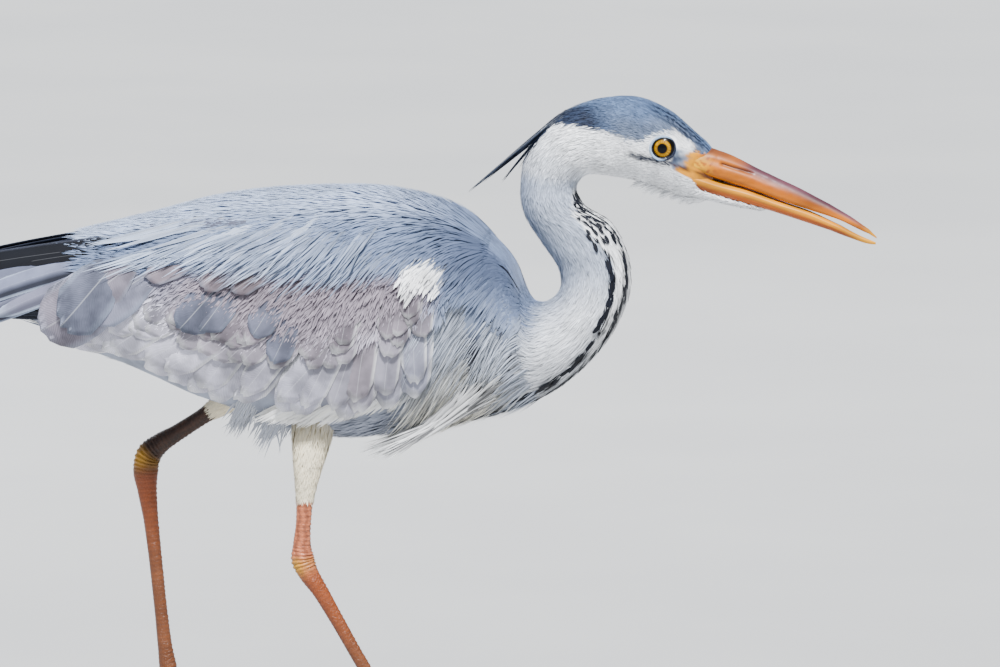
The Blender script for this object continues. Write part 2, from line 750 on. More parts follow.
@dataclass
class Feathers:
    """Roots and sizes of many feathers on one form, one entry each, in mm and radians."""

    form: Form
    s: Array
    angle: Array
    side: Array
    length: Array
    width: Array
    turn: Array | float = 0.0
    bend: Array | float = 0.0
    low: Array | float = 0.0
    high: Array | float = 1.0
    roll: Array | float = 0.0
    tip: Array | None = None  # where the feathers end, on the +Y side, if they leave the form
    facing: Array | None = None  # the way their outer faces look at the tip
    arch: Array | float = 0.0  # how far they bow outwards on the way there
    NUMBERS = ("side", "length", "width", "turn", "bend", "low", "high", "roll", "arch")

    def __post_init__(self) -> None:
        """Spreads single values over all feathers."""
        for name in self.NUMBERS:
            setattr(self, name, np.broadcast_to(np.asarray(getattr(self, name), float), self.s.shape).copy())

    def kept(self, mask: Array) -> "Feathers":
        """The feathers where mask is true."""
        names = ("s", "angle", *self.NUMBERS)
        return Feathers(self.form, **{name: getattr(self, name)[mask] for name in names})

    def aimed(self, slope: Array | float) -> "Feathers":
        """Turns the feathers so that seen from the side they point back and down by slope.

        Args:
            slope: radians below straight back.
        Returns:
            The same feathers.
        """
        _, _, ahead, down = self.form.axes(self.s, self.angle)
        want_x, want_z = -np.cos(slope), -np.sin(slope)
        spread = ahead[:, 0] * down[:, 2] - ahead[:, 2] * down[:, 0]
        spread = np.where(np.abs(spread) < 0.25, np.copysign(0.25, spread), spread)
        along_it = (want_x * down[:, 2] - want_z * down[:, 0]) / spread
        across_it = (ahead[:, 0] * want_z - ahead[:, 2] * want_x) / spread
        self.turn = np.arctan2(across_it, -along_it)
        return self

    def directions(self, s: Array, angle: Array, turn: Array) -> tuple[Array, ...]:
        """Unit lie and cross directions on the form, with the form's own axes.

        Args:
            s, angle: places and angles.
            turn: angle of the lie from straight back towards larger angles.
        Returns:
            Lie, cross direction, and the changes of s and angle for 1 mm along each of them.
        """
        d_s, d_a, ahead, down = self.form.axes(s, angle)
        cosine, sine = np.cos(turn)[..., None], np.sin(turn)[..., None]
        lie, cross = -ahead * cosine + down * sine, ahead * sine + down * cosine
        size_s, lean = np.linalg.norm(d_s, axis=-1), (d_a * ahead).sum(-1)
        size_a = np.maximum((d_a * down).sum(-1), 1e-6)

        def steps(v: Array) -> tuple[Array, Array]:
            """Changes of s and angle for a step v."""
            turned = (v * down).sum(-1) / size_a
            return ((v * ahead).sum(-1) - turned * lean) / size_s, turned

        return lie, cross, *steps(lie), *steps(cross)

    def grow(self, vane: Vane, rng: Rng) -> tuple[Array, Array, Array]:
        """Lays every feather on the form.

        Args:
            vane: the shape they share.
            rng: for the ragged ends.
        Returns:
            Points by feather, row and column; the shares of length reached; and the columns' places.
        """
        rows, count = vane.rows, len(self.s)
        s_line, a_line = np.empty((count, rows + 1)), np.empty((count, rows + 1))
        s_line[:, 0], a_line[:, 0] = self.s, self.angle
        crosses = []
        for k in range(rows + 1):
            turn = self.turn + self.bend * k / rows
            lie, cross, ds, da, cs, ca = self.directions(s_line[:, k], a_line[:, k], turn)
            crosses.append((cs, ca))
            if k == 0:
                first_lie, first_cross = lie, cross
            if k < rows:
                s_line[:, k + 1] = s_line[:, k] + ds * self.length / rows
                a_line[:, k + 1] = a_line[:, k] + da * self.length / rows
        cross_s, cross_a = (np.stack(part, 1) for part in zip(*crosses))
        b, t = np.linspace(-1, 1, vane.columns + 1), np.linspace(0, 1, rows + 1)
        ends = 1 - vane.round * (1 - np.sqrt(1 - 0.98 * b ** 2))
        ends = ends * (1 - vane.ragged * rng.random((count, len(b))))
        reach = t[None, :, None] * ends[:, None, :]
        place = np.clip(reach * rows, 0, rows - 1e-6)
        k, n = place.astype(int), np.arange(count)[:, None, None]

        def read(table: Array) -> Array:
            """A table's values between the rows."""
            return table[n, k] * (1 - (place - k)) + table[n, k + 1] * (place - k)

        grown = np.minimum(1, (reach + 0.02) / vane.base) ** 0.6 \
            * (1 - np.minimum(reach, 0.995) ** vane.taper) ** vane.point
        half = wide(self.width) / 2 * grown * b
        out = wide(self.low) + wide(self.high - self.low) * reach \
            + vane.camber * wide(self.width) * grown * (1 - b ** 2) + wide(self.roll) * half
        points = self.form.surface(read(s_line) + read(cross_s) * half,
                                   read(a_line) + read(cross_a) * half, out)
        normal = unit(np.cross(first_lie, first_cross))
        root = self.form.surface(self.s, self.angle, self.low)
        outward = root - self.form.surface(self.s, self.angle, self.low - 5)
        normal *= np.sign((normal * outward).sum(-1, keepdims=True))
        if self.tip is not None:
            points = self.flown(root, first_lie, first_cross, normal, reach, half, out)
        elif vane.stiff > 0:
            straight = wide(root) + wide(first_lie) * (reach * wide(self.length))[..., None] \
                + wide(first_cross) * half[..., None] + wide(normal) * (out - wide(self.low))[..., None]
            points = points + (straight - points) * (vane.stiff * reach ** 1.5)[..., None]
        points[..., 1] *= wide(self.side)
        return points, reach, np.broadcast_to(b, reach.shape)

    def flown(self, root: Array, lie: Array, cross: Array, normal: Array, reach: Array, half: Array,
              out: Array) -> Array:
        """Feathers on a curve of the second order from the root, along its lie, to their own tips.

        Args:
            root, lie, cross, normal: place and directions at the root.
            reach, half, out: share of length, distance across and height for every point.
        Returns:
            The points.
        """
        t = reach[..., None]
        span = np.linalg.norm(self.tip - root, axis=-1, keepdims=True)
        bow = root + unit(blend(lie, unit(self.tip - root), 0.5)) * span * 0.5 + normal * self.arch[:, None]
        spine = wide(root) * (1 - t) ** 2 + wide(bow) * 2 * t * (1 - t) + wide(self.tip) * t ** 2
        line = unit((wide(bow) - wide(root)) * (1 - t) + (wide(self.tip) - wide(bow)) * t)
        face = wide(normal) * (1 - t) + wide(self.facing) * t
        aside = unit(np.cross(line, face))
        aside = aside * np.sign((aside * wide(cross)).sum(-1, keepdims=True))
        lift = (out - wide(self.low) - wide(self.high - self.low) * reach)[..., None]
        return spine + aside * half[..., None] + unit(np.cross(aside, line)) \
            * np.sign((np.cross(aside, line) * face).sum(-1, keepdims=True)) * lift


def vane_tint(tone: Array, edge: Array, rng: Rng, amount: float, rim: float,
              root: float) -> Tint:
    """Colours of large vanes: darker at the root and along the middle, paler round the rim.

    Args:
        tone: a colour for each feather.
        edge: the rim's colour.
        rng, amount: source and size of the differences in brightness.
        rim: strength of the rim.
        root: brightness at the root.
    Returns:
        The feathers' tint.
    """
    own = wide(tone) * vary(rng, len(tone), amount)

    def tint(reach: Array, b: Array) -> Array:
        """Colour by share of length and place across."""
        border = np.maximum(smooth(0.78, 0.98, np.abs(b)), smooth(0.90, 0.99, reach))
        shade = (root + (1.05 - root) * reach) * (1 - 0.10 * lump(b, 0.45, 0.3))
        return blend(own * shade[..., None], edge, rim * border)

    return tint


def vary(rng: Rng, count: int, amount: float) -> Array:
    """Brightness factors about 1, one for each feather."""
    return np.exp(rng.normal(0, amount, count))[:, None, None, None]


@dataclass
class Coat:
    """Meshes of feathers gathered for one piece, with the maps they need."""

    PATCH = 0.003  # side of a feather's patch on the bake map
    MARGIN = 0.01  # clear edge of that map
    FILL = 0.97  # share of it that the roots spread over

    name: str
    rng: Rng
    parts: list[MeshData] = field(default_factory=list)
    places: list[Array] = field(default_factory=list)

    def add(self, feathers: Feathers, vane: Vane, tint: Tint) -> None:
        """Grows the feathers and keeps their mesh.

        Args:
            feathers, vane, tint: their places, shape and colours.
        """
        points, reach, b = feathers.grow(vane, self.rng)
        self.sheet(points, np.broadcast_to(tint(reach, b), points.shape), reach, b, vane.solid, feathers.side)
        self.places.append(np.stack([feathers.s, feathers.side * feathers.angle], -1))

    def dress(self, feathers: Feathers, vane: Vane, tone: Array, edge: Array, amount: float, rim: float,
              root: float) -> None:
        """Adds feathers in one tone, or in one each, with the amount, rim and root of vane_tint."""
        tone = np.broadcast_to(tone, (len(feathers.s), 3))
        self.add(feathers, vane, vane_tint(tone, edge, self.rng, amount, rim, root))

    def sheet(self, points: Array, colours: Array, reach: Array, b: Array, solid: float,
              side: Array) -> None:
        """Turns grids of points into quads, with a second face below where the vane is solid.

        Args:
            points, colours: by feather, row and column.
            reach, b: shares of length and places across.
            solid: thickness in mm.
            side: sign of Y for each feather.
        """
        count, rows, columns = points.shape[:3]
        per = rows * columns
        quad = lattice(rows, columns)
        grid, shade = points.reshape(count, per, 3), colours.reshape(count, per, 3)
        vane = local = np.stack([(b + 1) / 2, reach], -1).reshape(count, per, 2)
        turned = side > 0
        if solid > 0:
            edge = (1 - np.abs(b.reshape(count, per)) ** 4) * (1 - reach.reshape(count, per) ** 6)
            across = points[:, :, -1] - points[:, :, 0]
            lengthwise = np.gradient(points.mean(2), axis=1)
            normal = np.repeat(unit(np.cross(lengthwise, across))[:, :, None], columns, 2)
            normal = normal.reshape(count, per, 3) * wide(np.where(turned, 1, -1))
            below = grid - normal * (solid * (0.15 + 0.85 * edge))[..., None]
            rim = self.rim(rows, columns)
            quad = np.concatenate([quad, quad[:, ::-1] + per, np.concatenate([rim, rim[:, ::-1] + per], 1)])
            grid = np.concatenate([grid, below], 1)
            shade = np.concatenate([shade, shade * 0.9], 1)
            vane = np.concatenate([vane, vane], 1)
            local = np.concatenate([local * [0.49, 1], local * [0.49, 1] + [0.51, 0]], 1)
            per *= 2
        quads = np.where(wide(turned), quad, quad[..., ::-1]) + wide(np.arange(count) * per)
        self.parts.append(MeshData(grid.reshape(-1, 3), quads.reshape(-1, 4), tint=shade.reshape(-1, 3),
                                   vane=vane.reshape(-1, 2), bake=local.reshape(-1, 2), per=per))

    @staticmethod
    def rim(rows: int, columns: int) -> Array:
        """Pairs of neighbouring points round a grid's edge, in the order that closes a wall below it."""
        left = np.arange(rows) * columns
        foot, head = np.arange(columns), (rows - 1) * columns + np.arange(columns)
        lines = [left, head, left[::-1] + columns - 1, foot[::-1]]
        return np.concatenate([np.stack([line[1:], line[:-1]], -1) for line in lines])

    def build(self, finish: Material, slot: Slot, *nodes: str) -> Piece:
        """Args:
            finish: its material.
            slot: the record's slot.
            nodes: CAD nodes that it stands for.
        Returns:
            The new object.
        """
        places = np.concatenate(self.places)
        low, span = places.min(0), np.ptp(places, axis=0)
        corner = self.MARGIN + (places - low) / np.maximum(span, 1e-9) * self.FILL
        start = 0
        for part in self.parts:
            count = len(part.points) // part.per
            part.bake = corner[np.repeat(np.arange(start, start + count), part.per)] + part.bake * self.PATCH
            start += count
        return declare(MeshData.joined(self.parts).build(self.name, [finish]), slot, *nodes)


def declare(piece: Piece, slot: Slot, *nodes: str) -> Piece:
    """Rides the piece on the one body, names its slot and the nodes it stands for, and reports it.

    Args:
        piece, slot, nodes: what is declared.
    Returns:
        The same piece.
    """
    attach(piece, "root")
    if nodes:
        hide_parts(*nodes)
    LOG.info("%s: %d triangles", piece.name, len(piece.data.loops) - 2 * len(piece.data.polygons))
    return piece


SAMPLES_ALONG, SAMPLES_ROUND = 400, 60  # points by which scatter measures the body


def scatter(first: float, last: float, row_gap: float, gap: float, jitter: float, rng: Rng,
            angles: tuple[float, float]) -> tuple[Array, Array, Array]:
    """Staggered rows of roots over both sides of the body.

    Args:
        first, last: place numbers that the rows lie between.
        row_gap, gap: distance of rows, and of roots in a row, in mm.
        jitter, rng: irregularity as a share of the gaps, and its source.
        angles: lowest and highest angle in degrees.
    Returns:
        Place numbers, angles and sides.
    """
    fine, turns = np.linspace(first, last, SAMPLES_ALONG), np.radians(np.linspace(*angles, SAMPLES_ROUND))
    length = run(BODY.surface(fine, np.full(SAMPLES_ALONG, np.pi / 2), 0))
    found = []
    for k, s in enumerate(np.interp(np.arange(0, length[-1], row_gap), length, fine)):
        arc = run(BODY.surface(np.full(SAMPLES_ROUND, s), turns, 0))
        for side in Side:
            steps = np.arange(0.25 + 0.5 * (k % 2), arc[-1] / gap)
            steps = steps + rng.uniform(-jitter, jitter, len(steps))
            place = s + rng.uniform(-jitter, jitter, len(steps)) * row_gap * (last - first) / length[-1]
            turned = np.interp(steps * gap, arc, turns)
            found.append(np.stack([place, turned, np.full(len(steps), side.value)]))
    s, angle, side = np.concatenate(found, 1)
    return np.clip(s, first, last), angle, side


# ---------------------------------------------------------------- finishes

class Nodes:
    """Short ways to add and join shader nodes in one tree."""

    def __init__(self, tree: bpy.types.NodeTree) -> None:
        """Keeps the tree."""
        self.tree = tree

    def add(self, kind: str, **settings: object) -> bpy.types.Node:
        """A new node with its properties set."""
        node = self.tree.nodes.new("ShaderNode" + kind)
        for name, value in settings.items():
            setattr(node, name, value)
        return node

    def put(self, source: object, target: Socket) -> None:
        """Joins a socket to target, or sets target's value."""
        if isinstance(source, Socket):
            self.tree.links.new(source, target)
        else:
            target.default_value = source

    def fed(self, node: bpy.types.Node, **values: object) -> bpy.types.Node:
        """A node with the named inputs joined or set."""
        for name, value in values.items():
            self.put(value, node.inputs[name])
        return node

    def math(self, operation: str, *values: object) -> Socket:
        """A Math node's result."""
        node = self.add("Math", operation=operation)
        for value, socket in zip(values, node.inputs):
            self.put(value, socket)
        return node.outputs[0]

    def vector(self, operation: str, value: Socket) -> bpy.types.bpy_prop_collection:
        """A Vector Math node's outputs for one vector."""
        return self.fed(self.add("VectorMath", operation=operation), Vector=value).outputs

    def mix(self, share: object, a: object, b: object, kind: str = "MIX") -> Socket:
        """A colour mix's result."""
        node = self.add("Mix", data_type="RGBA", blend_type=kind)
        for number, value in ((0, share), (6, a), (7, b)):
            self.put(value, node.inputs[number])
        return node.outputs[2]

    def ramp(self, value: object, low: float, high: float, start: float = 0.0, end: float = 1.0) -> Socket:
        """A value carried smoothly from low..high to start..end."""
        node = self.add("MapRange", interpolation_type="SMOOTHSTEP")
        for number, given in enumerate((value, low, high, start, end)):
            self.put(given, node.inputs[number])
        return node.outputs[0]

    def noise(self, where: Socket, scale: float, detail: float = 2.0, stretch: tuple | None = None) -> Socket:
        """Noise by place, drawn out by a Mapping node where stretch is given."""
        if stretch is not None:
            where = self.fed(self.add("Mapping"), Scale=stretch, Vector=where).outputs[0]
        return self.fed(self.add("TexNoise"), Scale=scale, Detail=detail, Vector=where).outputs["Fac"]


class Dressing(Nodes):
    """A new material's nodes and shader, on Object coordinates."""

    def __init__(self, name: str, values: dict[str, float]) -> None:
        """Makes the material and sets numbers on the shader's own sockets."""
        self.material = bpy.data.materials.new(name)
        self.material.use_nodes = True
        super().__init__(self.material.node_tree)
        self.shader = self.fed(self.tree.nodes["Principled BSDF"], **values)
        self.where = self.add("TexCoord").outputs["Object"]

    def cloudy(self, scale: float, detail: float, amount: float, stretch: tuple | None = None) -> Socket:
        """A brightness about 1 that wanders by amount."""
        return self.ramp(self.noise(self.where, scale, detail, stretch), 0.3, 0.7, 1 - amount, 1 + amount)

    def shaded(self, shade: Socket) -> Socket:
        """The piece's tint times a brightness."""
        dark = self.fed(self.add("CombineXYZ"), X=shade, Y=shade, Z=shade).outputs[0]
        return self.mix(1.0, self.add("Attribute", attribute_name="tint").outputs["Color"], dark, "MULTIPLY")

    def bumped(self, height: Socket, strength: float, distance: float) -> None:
        """Leads a height to the shader's normal through a bump."""
        bump = self.fed(self.add("Bump"), Strength=strength, Distance=distance, Height=height)
        self.fed(self.shader, Normal=bump.outputs[0])


def barb_group() -> bpy.types.NodeTree:
    """Group: fine slanting barbs and a shaft on a vane's own map.

    The barbs are a sine of (length place + slope times distance from the shaft) times their number. The
    shaft is a narrow band along the middle.

    Returns:
        The group, which puts out a brightness, the shaft's mask and a height.
    """
    group = bpy.data.node_groups.new("barbs", "ShaderNodeTree")
    for name, value in (("Number", 60.0), ("Depth", 0.2), ("Shaft", 0.05)):
        group.interface.new_socket(name, in_out="INPUT", socket_type="NodeSocketFloat").default_value = value
    for name in ("Shade", "Shaft", "Height"):
        group.interface.new_socket(name, in_out="OUTPUT", socket_type="NodeSocketFloat")
    n = Nodes(group)
    given, out = group.nodes.new("NodeGroupInput").outputs, group.nodes.new("NodeGroupOutput")
    uv = n.add("UVMap", uv_map="Vane").outputs[0]
    parts = n.fed(n.add("SeparateXYZ"), Vector=uv).outputs
    off = n.math("ABSOLUTE", n.math("MULTIPLY_ADD", parts[0], 2.0, -1.0))
    slant = n.math("SUBTRACT", parts[1], n.math("MULTIPLY", off, 0.22))
    phase = n.math("MULTIPLY", n.math("MULTIPLY_ADD", n.noise(uv, 7.0, 1.0), 0.05, slant), given["Number"])
    wave = n.math("SINE", n.math("MULTIPLY", phase, 2 * math.pi))
    shaft = n.ramp(n.math("DIVIDE", off, given["Shaft"]), 0.6, 1.0, 1.0, 0.0)
    dip = n.math("MULTIPLY", n.math("MULTIPLY_ADD", wave, 0.5, 0.5), given["Depth"])
    height = n.math("ADD", n.math("MULTIPLY", wave, 0.3), shaft)
    n.fed(out, Shade=n.math("SUBTRACT", 1.0, dip), Shaft=shaft, Height=height)
    return group


@dataclass(frozen=True)
class FeatherFinish:
    """Vanes: the feather's own tint, streaked by barbs, with a pale shaft."""

    name: str
    barbs: float = 40.0
    depth: float = 0.22
    shaft: float = 0.0
    shaft_strength: float = 0.5
    sheen: float = 0.25
    cloud: float = 0.11
    SHAFT_COLOUR = (0.8, 0.82, 0.86, 1)
    OWN = {"Roughness": 0.62, "Sheen Roughness": 0.4, "Specular IOR Level": 0.2}

    def make(self, barbs: bpy.types.NodeTree) -> Material:
        """Makes it.

        Args:
            barbs: the barb group.
        Returns:
            The material.
        """
        n = Dressing(self.name, self.OWN | {"Sheen Weight": self.sheen})
        vane = n.fed(n.add("Group", node_tree=barbs), Number=self.barbs, Depth=self.depth,
                     Shaft=max(self.shaft, 0.01)).outputs
        colour = n.shaded(n.math("MULTIPLY", vane["Shade"], n.cloudy(60.0, 3.0, self.cloud)))
        if self.shaft > 0:
            colour = n.mix(n.math("MULTIPLY", vane["Shaft"], self.shaft_strength), colour, self.SHAFT_COLOUR)
        n.put(colour, n.shader.inputs["Base Color"])
        n.bumped(vane["Height"], 0.25, 0.0003)
        return n.material


@dataclass(frozen=True)
class SkinFinish:
    """Skin and horn: the piece's tint, broken up by fine noise, with scales or pores as bump."""

    name: str
    scale: float = 900.0
    cells: bool = False
    bump: float = 0.3
    depth: float = 0.0003
    roughness: float = 0.55
    coat: float = 0.0
    coat_roughness: float = 0.1
    mottle: float = 0.15
    streak: tuple[float, float, float] = (1.0, 1.0, 1.0)

    def make(self) -> Material:
        """Makes it.

        Returns:
            The material, with pores by noise or scales by the edges of cells.
        """
        n = Dressing(self.name, {"Specular IOR Level": 0.3, "Coat Weight": self.coat,
                                 "Coat Roughness": self.coat_roughness})
        rough = n.ramp(n.noise(n.where, 200.0), 0.3, 0.7, self.roughness - 0.06, self.roughness + 0.08)
        tone = n.shaded(n.cloudy(90.0, 4.0, self.mottle, self.streak))
        n.fed(n.shader, **{"Base Color": tone, "Roughness": rough})
        if self.cells:
            cell = n.fed(n.add("TexVoronoi", feature="DISTANCE_TO_EDGE"), Scale=self.scale, Vector=n.where)
            height = n.ramp(cell.outputs["Distance"], 0.0, 0.16)
        else:
            height = n.noise(n.where, self.scale, 3.0, self.streak)
        n.bumped(height, self.bump, self.depth)
        return n.material


@dataclass(frozen=True)
class EyeFinish:
    """Black pupil, yellow iris with fine rays and a dark rim, under a wet clear surface."""

    name: str
    pupil: float = 3.2
    iris: float = 6.0
    OWN = {"Roughness": 0.3, "Specular IOR Level": 0.08, "Coat Weight": 0.2, "Coat Roughness": 0.02,
           "Coat IOR": 1.38}

    def make(self) -> Material:
        """Rings by distance from the eye's axis, which is level and points sideways.

        Returns:
            The material.
        """
        n = Dressing(self.name, self.OWN)
        centre = placed(np.array(EYE_MM)) / MM
        spread = n.fed(n.add("Mapping"), Location=(-centre[0], 0, -centre[2]), Scale=(1 / MM, 0, 1 / MM),
                       Vector=n.where).outputs[0]
        away = n.vector("LENGTH", spread)["Value"]
        ray = n.noise(n.vector("NORMALIZE", spread)[0], 9.0, 4.0)
        iris = n.mix(n.ramp(ray, 0.35, 0.65), (*Colour.IRIS, 1), (*Colour.IRIS_RAY, 1))
        inner = n.ramp(away, self.pupil + 0.1, self.pupil + 0.9, 0.75, 0.0)
        iris = n.mix(inner, iris, (*Colour.IRIS_INNER, 1))
        iris = n.mix(n.ramp(away, self.iris - 1.0, self.iris), iris, (*Colour.IRIS_RIM, 1))
        colour = n.mix(n.ramp(away, self.pupil - 0.12, self.pupil + 0.12), (0.002, 0.002, 0.003, 1), iris)
        n.put(colour, n.shader.inputs["Base Color"])
        return n.material


# ---------------------------------------------------------------- skin

@dataclass
class Skin:
    """One skin from tail to face, with chin, lids, legs and toes, without a seam that shows."""

    rings: int = 390
    steps: int = 104
    lid_radius: float = 6.72

    def body(self) -> MeshData:
        """The body form at the skin's height: rings in the sections, closer on the head.

        Returns:
            Its mesh, with the bare face's own finish.
        """
        s = np.interp(np.linspace(0, 1, self.rings), [0, 0.30, 0.55, 1], [0, 8, 15, BODY.last])
        s, angle = round_grid(s, self.steps)
        signed = np.where(angle > np.pi, angle - 2 * np.pi, angle)
        points = BODY.surface(s, signed, Layers.skin(s, signed))
        tint = MARKS.tint(s, signed)
        tint = paint(tint, (tint * 0.88, smooth(9, 3, s)), (self.naked(points), MARKS.bare(points)))
        data = shell(points, self.around_eye(points, tint))
        faces = np.concatenate([data.quads[:, 0], data.tris[:, 0]])
        data.finish = np.where(MARKS.bare(data.points)[faces] > 0.5, 2, 0)
        return data

    @staticmethod
    def naked(points: Array) -> Array:
        """Colours of the bare face: dark round the gape, pale blue by the eye, then yellow and orange.

        Args:
            points: places.
        Returns:
            Colours.
        """
        x, z = points[..., 0], points[..., 2]
        x = x + 1.1 * np.sin(z * 1.3) + 0.8 * np.sin(z * 2.9 + x)
        mouth = along([(205, 397), (216, 394), (224, 391), (237, 385.4)], x)
        return paint(
            Colour.LORES_PALE, (Colour.WHITE, 0.6 * smooth(400, 405, z) * smooth(211, 215, x)),
            (Colour.LORES, smooth(215.5, 221.5, x + (404 - z) * 0.3)), (Colour.ORANGE, smooth(222, 230, x)),
            (Colour.NAVY, 0.95 * lump(np.hypot(x - 209, (z - 400) * 1.1), 0, 7.5)),
            (Colour.YELLOW, smooth(0.6, -0.8, z - mouth) * smooth(209, 213, x)),
            (Colour.MOUTH, 0.95 * lump(z, mouth, 1.2)))

    @staticmethod
    def around_eye(points: Array, tint: Array) -> Array:
        """Sinks the skin behind the eyeball and darkens it round the lids.

        Args:
            points: the skin's grid, moved in place.
            tint: its colours.
        Returns:
            The new colours.
        """
        away = from_eye(points)
        sink = smooth(6.6, 5.2, away) * (np.abs(points[..., 1]) > 8)
        points[..., 1] -= np.sign(points[..., 1]) * sink * 3.0
        return blend(tint, Colour.LID, smooth(LID_REACH, 7.2, away) * (np.abs(points[..., 1]) > 8))

    def lids(self, side: Side, skin: Array) -> list[MeshData]:
        """Two rings round the eye: a dark lid edge on the eyeball and a pale ring outside it.

        Args:
            side: which eye.
            skin: points of the body's skin, whose level the rings follow.
        Returns:
            The rings' meshes.
        """
        rings = []
        away = from_eye(skin)
        near = skin[(away > 7.4) & (away < 14) & (skin[:, 1] > 6)]
        for radius, thick, lift, colour in ((self.lid_radius, 0.45, 0.2, Colour.LID),
                                            (self.lid_radius + 1.1, 0.85, 0.3, Colour.LID_RING)):
            t, a = round_grid(np.linspace(0, 2 * np.pi, 72, endpoint=False), 12)
            reach = radius + thick * np.cos(a)
            x, z = EYE_MM[0] + reach * np.cos(t), EYE_MM[2] + reach * np.sin(t) * 0.97
            gap = (near[:, 0] - x[..., None]) ** 2 + (near[:, 2] - z[..., None]) ** 2
            weight = np.exp(-(gap - gap.min(-1, keepdims=True)) / 1.5)
            level = (weight * near[:, 1]).sum(-1) / weight.sum(-1)
            points = np.stack([x, side.value * (level + lift + thick * 0.8 * np.sin(a)), z], -1)
            front = smooth(-0.2, 0.7, np.cos(t - 0.2) - 0.5 * np.sin(t))
            tone = blend(colour, Colour.LID if colour is Colour.LID else Colour.NAVY, front)
            quads = lattice(*t.shape, ring=True, coil=True)[:, ::side.value]
            rings.append(MeshData(points.reshape(-1, 3), quads, tint=tone.reshape(-1, 3),
                                  finish=np.full(len(quads), 1)))
        return rings

    def build(self, finishes: list[Material], legs: list["Leg"]) -> Piece:
        """Args:
            finishes: down, scales and bare face.
            legs: both legs.
        Returns:
            The piece.
        """
        parts = [self.body(), Chin().mesh()]
        for side in Side:
            parts += self.lids(side, parts[0].points)
        nodes = ["tail", "trunk", "neck_lower", "neck_middle", "neck_upper", "head"]
        for leg in legs:
            parts += leg.meshes()
            stems = ("thigh", "shank", "tarsus", *(f"toe_{toe}" for toe in Leg.TOES))
            nodes += [f"{stem}_{leg.side.end}" for stem in stems]
        return declare(MeshData.joined(parts).build("skin", finishes), Slot.SKIN, *nodes)


@dataclass
class Chin(Form):
    """The feathered tongue of chin between the rami of the lower bill."""

    start: float = 206.0
    tip: float = 269.0
    last: float = 1.0
    HIGH = [(206, 392), (224, 384), (240, 376), (269, 367.4)]
    LOW = [(206, 378.6), (218, 374.6), (231, 372), (250, 368.2), (269, 365.6)]
    WIDE = [(206, 8), (224, 9.4), (240, 8.0), (269, 2.2)]

    def surface(self, s: Array, angle: Array, out: Array | float) -> Array:
        """An ellipse across X whose height and width narrow forwards to the tip.

        Args:
            s, angle, out: places, angles and heights.
        Returns:
            Points.
        """
        x = self.start + (self.tip - self.start) * np.clip(s, 0, 1)
        high, low, breadth = (along(rows, x) for rows in (self.HIGH, self.LOW, self.WIDE))
        z = (high + low) / 2 + ((high - low) / 2 + out) * np.cos(angle)
        return np.stack([x, (breadth + out) * np.sin(angle), z], -1)

    def mesh(self) -> MeshData:
        """Its skin, a little inside."""
        return shell(self.surface(*round_grid(np.linspace(0, 1, 40), 32), -0.5), Colour.THROAT)


# ---------------------------------------------------------------- legs

